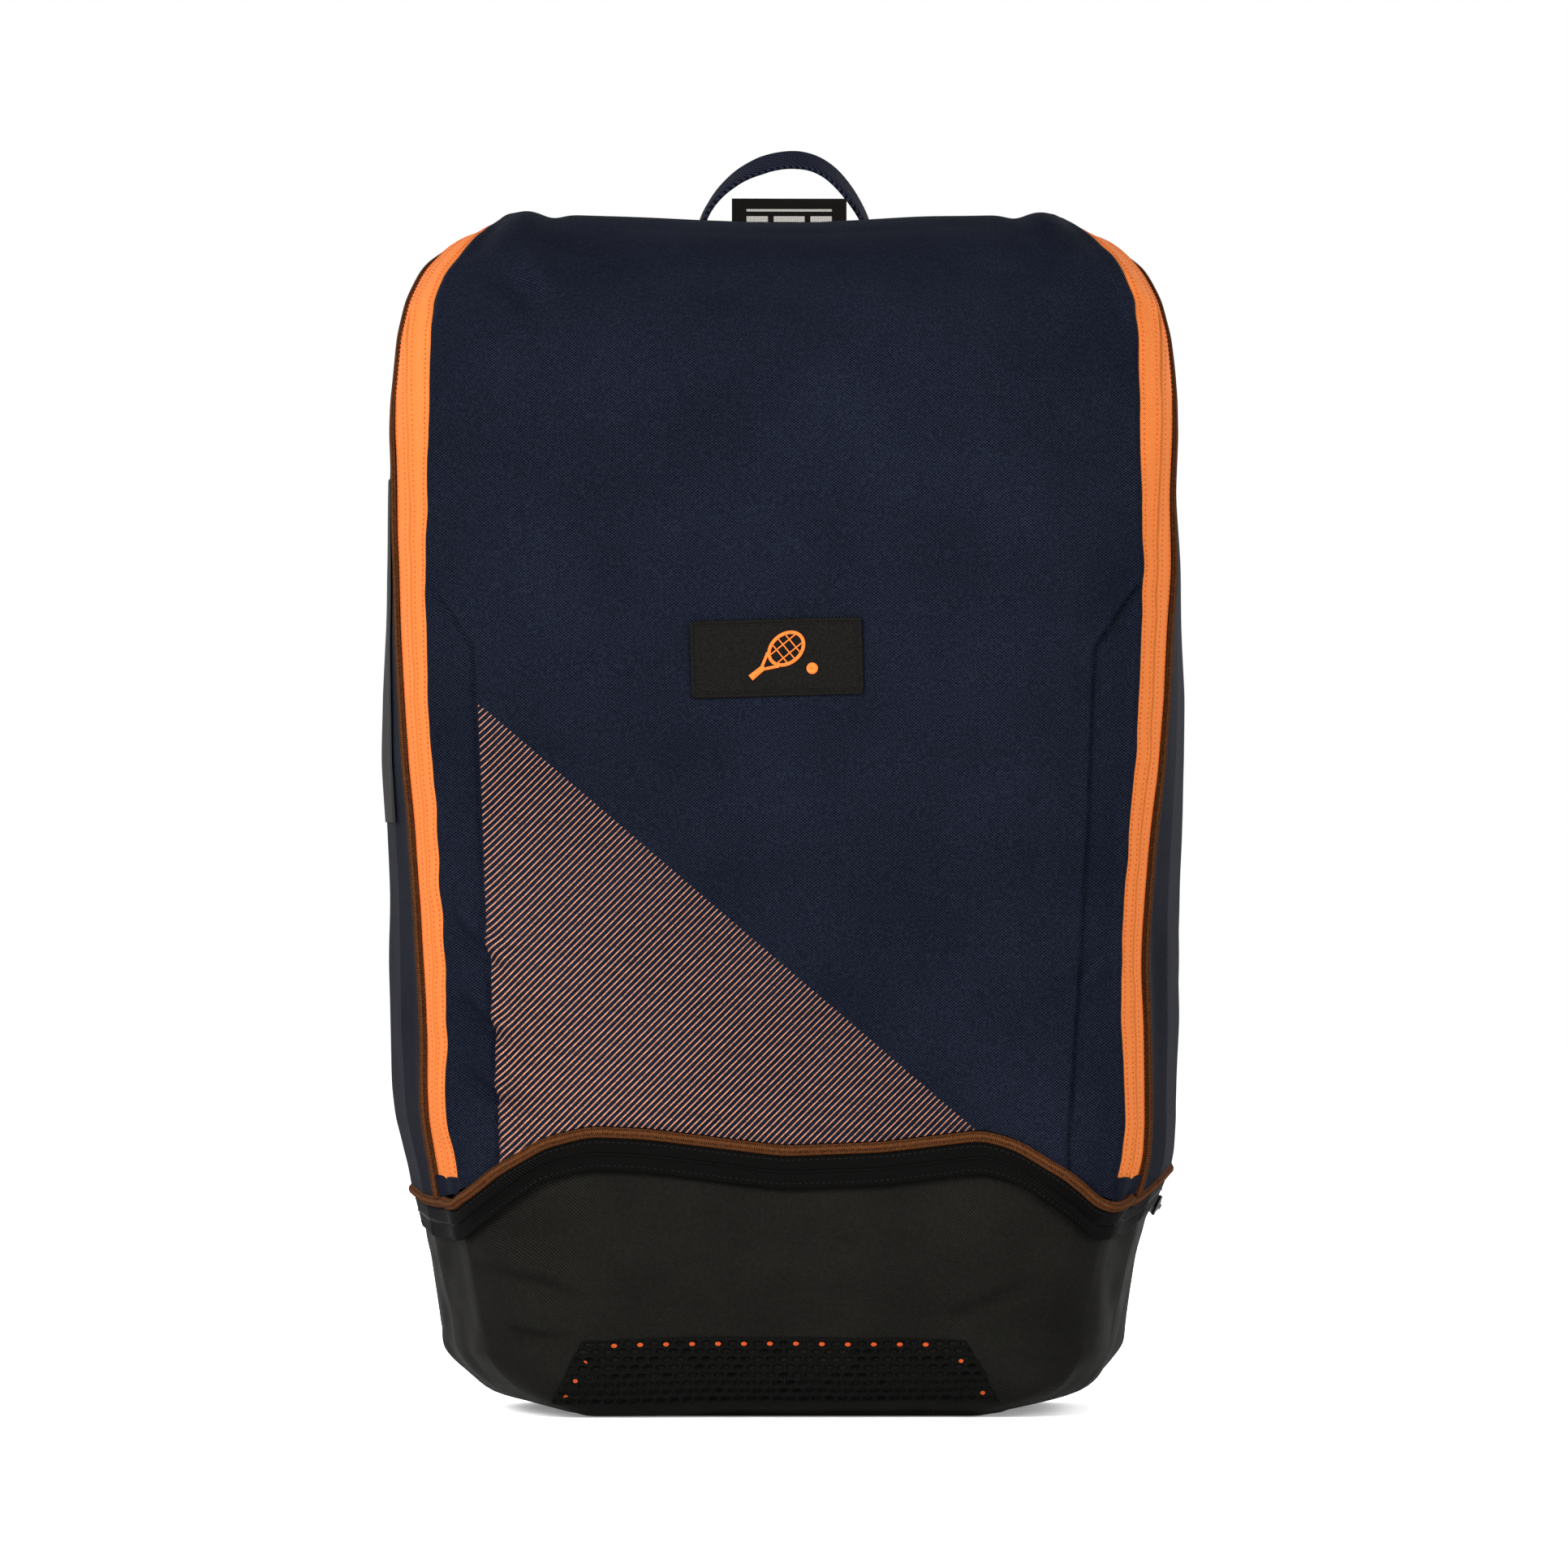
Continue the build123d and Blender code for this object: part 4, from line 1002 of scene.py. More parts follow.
lower = np.stack([beside_wall(wave_ring, d, h) for d, h in
                  ((11.1, 0.6), (11.5, 1.6), (12.3, 1.8), (14.5, 2.0), (17.2, 2.2), (17.9, 1.9), (17.9, -0.6))], 1)
lower_tape = sheet_object("shoe_tape_lower", lower)
lower_tape.data.materials.append(BLACK_TAPE)
seam = dashes("stitch_f", beside_wall(wave_ring, 15.8, 2.0), 2.4, 1.7, 0.5, 0.3)
lower_tape = join("shoe_tape_lower", [lower_tape, seam])
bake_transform(lower_tape)
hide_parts("shoe_zip_front_tape", "shoe_zip_side_tape")

# Charcoal wall under the zip, and the floor it turns into
FLOOR_Z = 12.0
wall_top = at_height(resample(below(wave_ring, 16.5), 900 // quick_step))
t = np.linspace(0, 1, 90 // quick_step)[None, :]
wall_z = wall_top[:, None, 2] * (1 - t) + FLOOR_Z * t
wall_grid = at_height(np.stack(np.broadcast_arrays(wall_top[:, None, 0], wall_top[:, None, 1], wall_z), -1))


wall_sink = np.broadcast_to(-0.5 - 1.0 * gauss(t * 75, 6), wall_grid.shape[:2])
base_wall = sheet_object("base_wall_cloth", raised(wall_grid, wall_sink))
base_wall.data.materials.append(BASE_CLOTH)
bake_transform(base_wall)
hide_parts("shoe_flap_wall")

# Underside: level rings down from the wall's foot, then drawn in to the middle
rear_foot = at_height(np.array([[-150.0, 110, 12], [-60, 120, 12], [60, 120, 12], [150, 110, 12]]))
foot_line = resample(np.concatenate([wall_grid[:, -1], rear_foot]), 1200)
around = at_height(blurred(np.concatenate([foot_line, foot_line[:1]]), 3)[:-1])
levels = []
for z in (12.0, 10, 8, 6.4, 5, 3.8, 2.8, 2.0, 1.4, 0.9, 0.6):
    ring = around.copy()
    ring[:, 2] = z
    levels.append(at_height(ring))
rim = raised(np.array(levels), -0.5)
rim[..., 2] = np.maximum(rim[..., 2], 0.4)
middle = np.array([0, -5.0, 0.4])
flat = [middle + (rim[-1] - middle) * s * np.array([1, 1, 0]) for s in np.linspace(0.98, 0.02, 24)]
under = np.concatenate([rim, np.array(flat)])
base_floor = sheet_object("base_underside", under, wrap=True, outward=np.array([0, 0, 200.0]))

# The back of the base and its rear corners, from the underside up to the back panel
x = np.r_[np.full(30, 170.0), np.linspace(170, -170, 160)[1:-1], np.full(30, -170.0)]
y = np.r_[np.linspace(40, 100, 30), np.full(158, 130.0), np.linspace(100, 40, 30)]
z = np.linspace(FLOOR_Z, b_left[0, 2] + 8.0, 54)
rear = at_height(np.stack(np.broadcast_arrays(x[:, None], y[:, None], z[None, :]), -1))
base_back = sheet_object("base_back", raised(rear, -0.7 - 1.6 * gauss(rear[..., 2] - b_left[0, 2] - 8.0, 5)))
base_floor = join("base_shell_cloth", [base_floor, base_back])
base_floor.data.materials.append(BASE_CLOTH)
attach(base_floor, "root")
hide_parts("base_shell")


# ---------------------------------------------------------------- vent, patch, label, loop
def rounded_ring(half_width, half_height, radius, inset, count):
    """Points round a rounded rectangle drawn in by inset, all starting at the same corner."""
    a, b = half_width - inset, half_height - inset
    r = max(radius - inset, 0.05)
    if min(a, b) <= r:
        r = min(a, b) * 0.999
    t = np.linspace(0, 2 * math.pi, 4000, endpoint=False)
    c, s = np.cos(t), np.sin(t)
    p = np.stack([np.sign(c) * (a - r) + r * c, np.sign(s) * (b - r) + r * s], -1)
    p = np.concatenate([p, p[:1]])
    length = np.r_[0, np.cumsum(np.hypot(*np.diff(p, axis=0).T))]
    at = np.linspace(0, length[-1], count, endpoint=False)
    return np.stack([np.interp(at, length, p[:, 0]), np.interp(at, length, p[:, 1])], -1)


def moulded(name, place, half_width, half_height, radius, profile, count=200):
    """A low relief on a rounded rectangle: profile lists (inset, height), place puts it in the world."""
    flat = np.array([rounded_ring(half_width, half_height, radius, inset, count) for inset, _ in profile])
    points = np.array([place(ring[:, 0], ring[:, 1], np.full(count, float(height)))
                       for ring, (_, height) in zip(flat, profile)])
    faces = grid_faces(len(profile), count, wrap=True).tolist()
    faces.append(list(range((len(profile) - 1) * count, len(profile) * count)))
    return make_object(name, points.reshape(-1, 3), faces, flat.reshape(-1, 2))


def seam_round(name, place, half_width, half_height, count, height, *stitch, up):
    """Stitches 2 mm or so inside the edge of a rounded rectangle."""
    inset, radius, pitch, length, width, rise = stitch
    ring = rounded_ring(half_width, half_height, radius, inset, count)
    ring = np.concatenate([ring, ring[:1]])
    line = place(ring[:, 0], ring[:, 1], np.full(count + 1, height))
    return dashes(name, line, pitch, length, width, rise, np.array(up, float))


def face_out(obj, way):
    """Turns an open piece's faces so that most of them look one way."""
    total = Vector((0, 0, 0))
    for face in obj.data.polygons:
        total += face.normal * face.area
    if total.dot(Vector(way)) < 0:
        obj.data.flip_normals()
    return obj


PATCH = np.array([-3.0, 314.0])
TURN = math.radians(1.5)


def on_patch(a, b, out):
    """World points for a place on the rubber patch and a height above the cloth."""
    x = PATCH[0] + a * math.cos(TURN) - b * math.sin(TURN)
    z = PATCH[1] + a * math.sin(TURN) + b * math.cos(TURN)
    p = on_form(np.stack([x, np.full_like(x, -112.0), z], -1))
    middle = laid(np.array([[PATCH[0], -112.0, PATCH[1]]]))[0]
    stand = relief(p) * 0.6 + 0.4 * (middle[1] - on_form(middle[None])[0, 1]) * -1
    return p + np.array([0, -1.0, 0.02]) * (stand + out)[..., None]


profile = [(0, -0.3), (0, 1.0), (0.15, 1.5), (0.5, 1.75), (1.2, 1.75), (1.5, 1.6), (1.75, 1.15), (2.1, 1.1),
           (2.5, 1.15), (2.75, 1.4), *((inset, 1.45) for inset in (3.2, 5, 8, 11, 14, 15.5))]
patch = face_out(moulded("rubber_patch_plate", on_patch, 35.5, 16, 2.0, profile), (0, -1, 0))
patch.data.materials.append(RUBBER)
patch_seam = seam_round("patch_seam", on_patch, 35.5, 16, 300, 1.15, 2.1, 2.0, 2.6, 1.9, 0.55, 0.35, up=(0, -1, 0))
patch = join("rubber_patch_plate", [patch, patch_seam])
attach(patch, "front_flap")
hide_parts("rubber_patch")


def raised_loop(name, outer, inner, height):
    """A raised flat ring between two closed lines on the patch, with softened edges."""
    middle = 0.5 * (outer + inner)
    rings = [outer, outer + (middle - outer) * 0.12, inner + (middle - inner) * 0.12, inner]
    heights = [1.3, height, height, 1.3]
    points = np.array([on_patch(ring[:, 0], ring[:, 1], np.full(len(ring), h)) for ring, h in zip(rings, heights)])
    faces = grid_faces(4, len(outer), wrap=True)
    return face_out(make_object(name, points.reshape(-1, 3), faces, np.zeros((4 * len(outer), 2))), (0, -1, 0))


def raised_bar(name, start, end, width_start, width_end, height):
    """A raised tapering bar on the patch."""
    start, end = np.array(start, float), np.array(end, float)
    way = (end - start) / np.linalg.norm(end - start)
    side = np.array([-way[1], way[0]])
    cross = np.array([(-0.5, 1.3), (-0.44, height), (0.44, height), (0.5, 1.3)])
    rows = []
    for k in np.linspace(0, 1, 8):
        width = width_start * (1 - k) + width_end * k
        p = start + (end - start) * k + side * (cross[:, :1] * width)
        rows.append(on_patch(p[:, 0], p[:, 1], cross[:, 1]))
    faces = grid_faces(8, 4)
    return face_out(make_object(name, np.array(rows).reshape(-1, 3), faces, np.zeros((32, 2))), (0, -1, 0))


angle = np.linspace(0, 2 * math.pi, 72, endpoint=False)
head = np.stack([np.cos(angle), np.sin(angle)], -1)
slope = math.radians(38)
lean = np.array([[math.cos(slope), -math.sin(slope)], [math.sin(slope), math.cos(slope)]])


def racket_place(p):
    """Places on the patch for points along and across the racket."""
    return np.asarray(p, float) @ lean.T + np.array([0.5, 0.8])


HEAD_X = 4.5
emblem = [raised_loop("head", racket_place(head * [8.6, 6.6] + [HEAD_X, 0]),
                      racket_place(head * [7.1, 5.1] + [HEAD_X, 0]), 2.0)]
bars = []
for offset in (-3.4, 0, 3.4):
    reach = 5.3 * math.sqrt(1 - (offset / 7.1) ** 2)
    bars.append(("string", [HEAD_X + offset, -reach], [HEAD_X + offset, reach], 0.55, 0.55, 1.8))
for offset in (-2.2, 2.2):
    reach = 7.3 * math.sqrt(1 - (offset / 5.1) ** 2)
    bars.append(("string", [HEAD_X - reach, offset], [HEAD_X + reach, offset], 0.55, 0.55, 1.8))
bars += [("throat", [-2.4, 3.6], [-8.0, 0.6], 1.3, 1.3, 1.95),
         ("throat", [-2.4, -3.6], [-8.0, -0.6], 1.3, 1.3, 1.95),
         ("grip", [-7.4, 0], [-14.5, 0], 2.4, 2.8, 2.1)]
for name, start, end, *sizes in bars:
    emblem.append(raised_bar(name, racket_place(start), racket_place(end), *sizes))
ball = np.array([14.5, -4.8])
emblem.append(raised_loop("ball", head * 2.4 + ball, head * 0.05 + ball, 2.0))
emblem = join("racket_emblem", emblem)
emblem.data.materials.append(EMBLEM)
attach(emblem, "front_flap")
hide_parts("patch_emblem")


def facing(x, z):
    """Points on the front of the form at given widths and heights."""
    x, z = np.broadcast_arrays(np.asarray(x, float), np.asarray(z, float))
    forward = np.broadcast_to([0, -1.0, 0], (*x.shape, 3))
    return cast(np.stack([x, np.zeros_like(x), z], -1), forward, 160)


# Spacer-mesh vent low on the front: staggered oval cells, and small orange eyelets round it
VENT_HEIGHT = 28.0
columns, rows = 620 // quick_step, 96 // quick_step
s = np.linspace(-1, 1, columns)[None, :]
t = np.linspace(0, 1, rows)[:, None]
half = 94.0 - t * 14.5
grid = facing(-4.0 + s * half, 5.0 + t * VENT_HEIGHT + 1.5 * (1 - s ** 2) * t)
cell_x, cell_z = 5.35, 3.3
row_index = np.floor(grid[..., 2] / cell_z)
local_x = np.mod(grid[..., 0] + 0.5 * cell_x * np.mod(row_index, 2), cell_x) / cell_x - 0.5
local_z = np.mod(grid[..., 2], cell_z) / cell_z - 0.5
hole = np.hypot(local_x / 0.36, local_z / 0.34)
depth = np.clip((1.25 - hole) / 0.5, 0, 1)
depth = depth * depth * (3 - 2 * depth)
rim_distance = np.minimum(np.minimum(t * VENT_HEIGHT, (1 - t) * VENT_HEIGHT), (1 - np.abs(s)) * half)
keep = np.clip((rim_distance - 0.8) / 1.2, 0, 1)
lift = 0.9 + 0.4 * noise(grid, 6, 31) - 1.5 * depth * keep - 1.6 * gauss(rim_distance, 0.7)
vent = sheet_object("vent_spacer_mesh", raised(grid, lift))
vent.data.materials.append(MESH_CLOTH)


def eyelet(x, z, half_width, half_height, lift, dome):
    """A small oval of orange lining on the vent."""
    angle = np.linspace(0, 2 * math.pi, 10, endpoint=False)
    ring = facing(x + half_width * np.cos(angle), z + half_height * np.sin(angle))
    border = raised(ring, lift)
    middle = border.mean(0) + normals(ring).mean(0) * dome
    faces = [(i, (i + 1) % 10, 10) for i in range(10)]
    eye = face_out(make_object("eye", np.vstack([border, middle]), faces, np.zeros((11, 2))), (0, -1, 0))
    eye.data.materials.append(EYE)
    return eye


row_x = [-70.0 + 10.7 * k for k in range(13)]
eyes = [eyelet(x, 30.2 + 1.2 * (1 - (x / 90) ** 2), 1.25, 0.85, 0.75, 0.1) for x in row_x]
eyes += [eyelet(x, z, 1.0, 0.8, 0.8, 0.0)
         for x, z in ((-82, 24), (-86, 17), (-90, 10.5), (73, 24), (77.5, 17), (82, 10.5))]
vent = join("vent_spacer_mesh", [vent, *eyes])
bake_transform(vent)
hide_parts("vent_mesh")

# Woven label folded over behind the crest
LABEL_X, LABEL_Y, LABEL_Z = 2.2, 51, 499.5 - 3.2


def on_label(across, up, out):
    """World points on the label, each row with its distance from the fold's middle plane."""
    bend = 1.2 * np.sin(across / 17.0 + 0.6)
    y = LABEL_Y + out[:, None] + bend[None, :] * (up[:, None] + 4) / 16
    return np.stack(np.broadcast_arrays(LABEL_X + across[None, :], y, LABEL_Z + up[:, None]), -1)


up = np.r_[np.linspace(-4, 12.2, 26), 12.9, 13.1, 12.9, np.linspace(12.2, -4, 26)]
out = np.r_[np.full(26, -0.45), -0.3, 0.0, 0.3, np.full(26, 0.45)]
tag = on_label(np.linspace(-24.25, 24.25, 60), up, out)
label = sheet_object("woven_label", tag, outward=np.array([2.2, 51.0, 500.0]))
label.data.materials.append(LABEL)
marks = []
for start, stop, low, high in ((-18, 18, 7.6, 8.6), (-18, -9, 3.2, 5.6), (-6.5, 6.5, 3.2, 5.6), (9, 18, 3.2, 5.6)):
    bar = on_label(np.linspace(start, stop, 14), np.array([low, high]), np.full(2, -0.62))
    mark = face_out(sheet_object("mark", bar), (0, -1, 0))
    mark.data.materials.append(LABEL_MARK)
    marks.append(mark)
marks = join("label_marks", marks)
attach(marks, "root")
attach(label, "root")
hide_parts("woven_tag")

# Hang loop: a narrow webbing arch with a slight twist, and its sewn feet
LOOP_X, LOOP_Y = 36.0, 66.0
arch = np.array([(-LOOP_X, 492.5), (-35.5, 498), (-33, 504.5), (-27, 513), (-18, 520.5), (-7, 525.2), (3, 526.8),
                 (12, 525.6), (20, 521), (27, 513), (32.5, 504.5), (35.5, 498), (LOOP_X, 492.5)])
path = resample(np.stack([arch[:, 0], np.full(len(arch), LOOP_Y), arch[:, 1]], -1), 200)
path = blurred(path, 7)
along = np.linspace(0, 1, len(path))
path[:, 1] += 1.2 * np.sin(along * math.pi * 2)
tilt = np.radians(np.interp(along, [0, 0.15, 0.4, 0.55, 0.8, 1], [3, 7, 32, 34, 20, 5]))
tangent = tangents(path)
wide = unit(np.array([0, 1.0, 0]) - tangent * (tangent @ np.array([0, 1.0, 0]))[:, None])
thin = np.cross(tangent, wide)
cos, sin = np.cos(tilt)[:, None], np.sin(tilt)[:, None]
wide, thin = wide * cos + thin * sin, thin * cos - wide * sin


def webbing(name, path, wide, width, thickness, material, thin=None):
    """A woven band along a path, with rounded edges; wide is its direction across."""
    wide = np.broadcast_to(wide, path.shape)
    thin = np.cross(tangents(path), wide) if thin is None else thin
    angle = np.linspace(0, 2 * math.pi, 24, endpoint=False)
    c, s = np.cos(angle), np.sin(angle)
    a = np.sign(c) * np.abs(c) ** 0.35 * width / 2
    b = np.sign(s) * np.abs(s) ** 0.55 * thickness / 2
    points = path[:, None] + wide[:, None] * a[None, :, None] + thin[:, None] * b[None, :, None]
    uv = np.stack(np.broadcast_arrays(a[None, :], lengths_along(path)[:, None]), -1)
    faces = grid_faces(len(path), 24, wrap=True).tolist()
    faces.append(list(range(24))[::-1])
    faces.append([(len(path) - 1) * 24 + k for k in range(24)])
    obj = make_object(name, points.reshape(-1, 3), faces, uv.reshape(-1, 2))
    centre = Vector(path[len(path) // 2] * MM)
    face = obj.data.polygons[(len(path) // 2) * 24]
    if face.normal.dot(face.center - centre) < 0:
        obj.data.flip_normals()
    obj.data.materials.append(material)
    return obj


loop = webbing("hang_loop_webbing", path, wide, 12.5, 2.6, NAVY_WEB, thin)
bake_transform(loop)
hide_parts("hang_loop")
feet = []
for side in (-1, 1):
    def on_roof(a, b, out, side=side):
        x = LOOP_X * side + a
        return laid(np.stack([x, LOOP_Y + b, np.full_like(x, 520.0)], -1), out)
    profile = [(0, -0.5), (0, 0.8), (0.3, 1.3), (1.0, 1.5), (3, 1.5), (6.5, 1.5)]
    foot = face_out(moulded("loop_foot", on_roof, 11, 7.5, 1.5, profile, 80), (0, 0, 1))
    foot.data.materials.append(NAVY_WEB)
    feet += [foot, seam_round("foot_seam", on_roof, 11, 7.5, 60, 1.5, 2.0, 1.5, 2.2, 1.6, 0.5, 0.3, up=(0, 0, 1))]
feet = join("hang_loop_sewn_feet", feet)
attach(feet, "root")
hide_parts("hang_loop_feet")


# ---------------------------------------------------------------- zip pulls
def box_of(node):
    """Lowest and highest corner of a CAD node, in millimetres."""
    low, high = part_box(node)
    return np.array(low) / MM, np.array(high) / MM


def soft_block(name, centre, axes, size, radius, material, segments=4):
    """A box with rounded edges, with its own three directions."""
    axes = np.array(axes, float)
    half = np.array(size) / 2
    corners = np.array([(i, j, k) for i in (-1, 1) for j in (-1, 1) for k in (-1, 1)]) * half
    faces = [(0, 1, 3, 2), (4, 6, 7, 5), (0, 4, 5, 1), (2, 3, 7, 6), (0, 2, 6, 4), (1, 5, 7, 3)]
    obj = make_object(name, corners @ axes + np.array(centre), faces, corners[:, :2])
    bevel = obj.modifiers.new("soft", "BEVEL")
    bevel.width, bevel.segments, bevel.limit_method = radius * MM, segments, "NONE"
    bpy.context.view_layer.objects.active = obj
    obj.select_set(True)
    bpy.ops.object.modifier_apply(modifier="soft")
    obj.select_set(False)
    centre_m = Vector(np.array(centre) * MM)
    face = obj.data.polygons[0]
    if face.normal.dot(face.center - centre_m) < 0:
        obj.data.flip_normals()
    for face in obj.data.polygons:
        face.use_smooth = True
    obj.data.materials.append(material)
    return obj


def slider(name, centre, forward, up):
    """A zip slider: two plates, a neck between them and a bridge that holds the pull."""
    centre, forward, up = (np.array(v, float) for v in (centre, forward, up))
    side = np.cross(up, forward)
    axes = [forward, side, up]
    parts = [soft_block("plate", centre + up * 0.2, axes, (11.5, 8.4, 1.2), 0.5, GUNMETAL),
             soft_block("shoulder", centre + forward * 3.2 + up * 0.2, axes, (4.6, 9.0, 1.3), 0.5, GUNMETAL),
             soft_block("neck", centre - up * 0.8, axes, (6.0, 2.0, 1.4), 0.4, GUNMETAL)]
    arch = ((-4.2, 0.6), (-3.6, 1.7), (-2.0, 2.2), (1.5, 2.2), (3.3, 1.7), (3.9, 0.6))
    bridge = blurred(resample(np.array([centre + forward * a + up * b for a, b in arch]), 40), 2)
    parts.append(webbing("bridge", bridge, side, 2.4, 0.9, GUNMETAL))
    return join(name, parts)


def puller(name, start, along, up, length):
    """A zip pull: a metal eye and a moulded grip with ribs."""
    start, along, up = (np.array(v, float) for v in (start, along, up))
    side = np.cross(up, along)
    angle = np.linspace(0, 2 * math.pi, 40)
    eye = start + along * 2.6 + along * (2.6 * np.cos(angle))[:, None] + side * (2.3 * np.sin(angle))[:, None]
    ring = tube_object("eye", eye, 0.65, 8, normal=np.tile(up, (40, 1)))
    ring.data.materials.append(GUNMETAL)
    axes = [along, side, up]
    grip_centre = start + along * (length / 2 + 3)
    parts = [ring, soft_block("grip", grip_centre, axes, (length - 8, 6.4, 1.6), 0.7, PLASTIC)]
    for k in range(5):
        rib_centre = start + along * (11 + 2.6 * k) + up * 0.8
        parts.append(soft_block("rib", rib_centre, axes, (0.9, 5.0, 0.6), 0.25, PLASTIC))
    return join(name, parts)


for side, word in ((-1, "left"), (1, "right")):
    low, high = box_of(f"main_slider_{word}")
    centre = (low + high) / 2
    roof = laid(np.array([[centre[0], centre[1], 520.0]]))[0]
    centre[2] = roof[2] + 1.2
    body = slider(f"main_slider_{word}_metal", centre, (-side, 0, 0), (0, 0.02, 1))
    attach(body, f"main_slider_{word}_body")
    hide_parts(f"main_slider_{word}")
    pull = puller(f"main_puller_{word}_pull", centre + np.array([side * 0.5, 0, 1.6]), (side, 0, 0), (0, 0.02, 1), 26)
    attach(pull, f"main_puller_{word}_body")
    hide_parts(f"main_puller_{word}")
low, high = box_of("shoe_slider")
centre = (low + high) / 2
way = normals(on_form(centre[None]))[0]
centre = laid(centre[None], 1.0)[0]
ahead = np.cross(np.cross(way, [0, 1.0, 0]), way)
ahead /= np.linalg.norm(ahead)
body = slider("shoe_slider_metal", centre, -ahead, way)
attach(body, "shoe_slider_body")
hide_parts("shoe_slider")
pull = puller("shoe_puller_pull", centre + way * 1.6 + ahead * 0.5, ahead, way, 26)
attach(pull, "shoe_puller_body")
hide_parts("shoe_puller")


# ---------------------------------------------------------------- back padding and straps
BACK_Y = 88.0
OUT = np.array([0, 1.0, 0])


def on_back(a, b, out):
    """World points for a place on the back panel and a height above it."""
    start = np.stack([np.asarray(a, float), np.full_like(a, 20.0), np.asarray(b, float)], -1)
    p = cast(start, np.broadcast_to([0, 1.0, 0], start.shape), 120)
    return np.stack([p[..., 0], p[..., 1] + out, p[..., 2]], -1)


def round_back(x, z, out):
    """The same, but free to run round the back panel's edges."""
    p = at_height(np.stack([x, np.full_like(x, 100.0), z], -1))
    return p + normals(p) * out


def cushion_grid(name, low, high, radius, height, channels):
    """A stuffed pad as a dense grid cut to a rounded rectangle, sewn down at its edge."""
    centre = (np.array(low) + np.array(high)) / 2
    half = (np.array(high) - np.array(low)) / 2
    rows, columns = int(half[1]) // quick_step, int(half[0]) // quick_step
    s = np.sin(np.linspace(-1, 1, columns) * math.pi / 2)
    t = np.sin(np.linspace(-1, 1, rows) * math.pi / 2)
    s, t = np.meshgrid(s, t)
    # The grid's border is drawn in at its corners, onto a rounded outline
    x = centre[0] + half[0] * s * (1 - 0.293 * (radius / half[0]) * (s * t) ** 6)
    z = centre[1] + half[1] * t * (1 - 0.293 * (radius / half[1]) * (s * t) ** 6)
    border = np.minimum(half[0] * (1 - np.abs(s)), half[1] * (1 - np.abs(t)))
    rise = np.interp(border, [0, 0.15, 1.2, 2.6, 3.2, 5, 9, 16, 30],
                     [-0.5, 1.0, 1.6, 1.6, 1.3, 4.5, 8.5, height - 0.8, height])
    swell = np.clip((border - 3.0) / 5.0, 0, 1)
    tilt = np.sign(centre[0] + 1e-6)
    pressed = sum(gauss(z - level - 0.06 * (x - centre[0]) * tilt, 2.6) for level in channels)
    out = rise - pressed * swell * (rise - 3.0) + 0.5 * noise(np.stack([x, z * 0, z], -1), 18, 41) * swell
    points = on_back(x, z, out)
    obj = sheet_object(name, points, outward=np.array([centre[0], 0.0, centre[1]]))
    obj.data.materials.append(PAD_MESH)
    border_line = [points[2, 3:-3][::-1], points[3:-3, 2], points[-3, 3:-3], points[3:-3, -3][::-1], points[2, -4:-3]]
    line = resample(np.concatenate(border_line), 500)
    row = dashes("pad_seam", line + np.array([0, 0.2, 0]), 3.0, 2.2, 0.6, 0.35, OUT)
    return join(name, [obj, row])


for side, word in ((-1, "left"), (1, "right")):
    low, high = ((-108, 175), (-12, 416)) if side < 0 else ((12, 175), (108, 416))
    pad = cushion_grid(f"back_cushion_{word}", low, high, 24, 11.5, (222, 270, 318, 366))
    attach(pad, "root")
    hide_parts(f"back_pad_{word}")
lumbar = cushion_grid("lumbar_cushion", (-89, 60), (89, 156), 24, 11.5, (92, 124))
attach(lumbar, "root")
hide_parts("lumbar_pad")


def circle_through(a, b, c):
    """Centre and radius of the circle through three points."""
    (ax, ay), (bx, by), (cx, cy) = a, b, c
    d = 2 * (ax * (by - cy) + bx * (cy - ay) + cx * (ay - by))
    aa, bb, cc = ax ** 2 + ay ** 2, bx ** 2 + by ** 2, cx ** 2 + cy ** 2
    ux = (aa * (by - cy) + bb * (cy - ay) + cc * (ay - by)) / d
    uy = (aa * (cx - bx) + bb * (ax - cx) + cc * (bx - ax)) / d
    return np.array([ux, uy]), math.hypot(ax - ux, ay - uy)


def strap_half(a, length):
    """The strap's half width along it: round shouldered at both ends, and a little narrower lower down."""
    body = np.interp(a, [14, 60, 160, length], [30.5, 31, 28, 24.5])
    near = np.minimum(a - 13.5, length + 0.5 - a)
    return body - 13 * (1 - np.sqrt(np.clip(1 - (1 - np.clip(near / 13, 0, 1)) ** 2, 0, 1)))


def quilted(a):
    """How much of the strap's thickness is left along it, pressed in at each quilting seam."""
    return 1 - 0.18 * sum(gauss(a - level, 2.2) for level in (58, 104, 150, 196, 242))


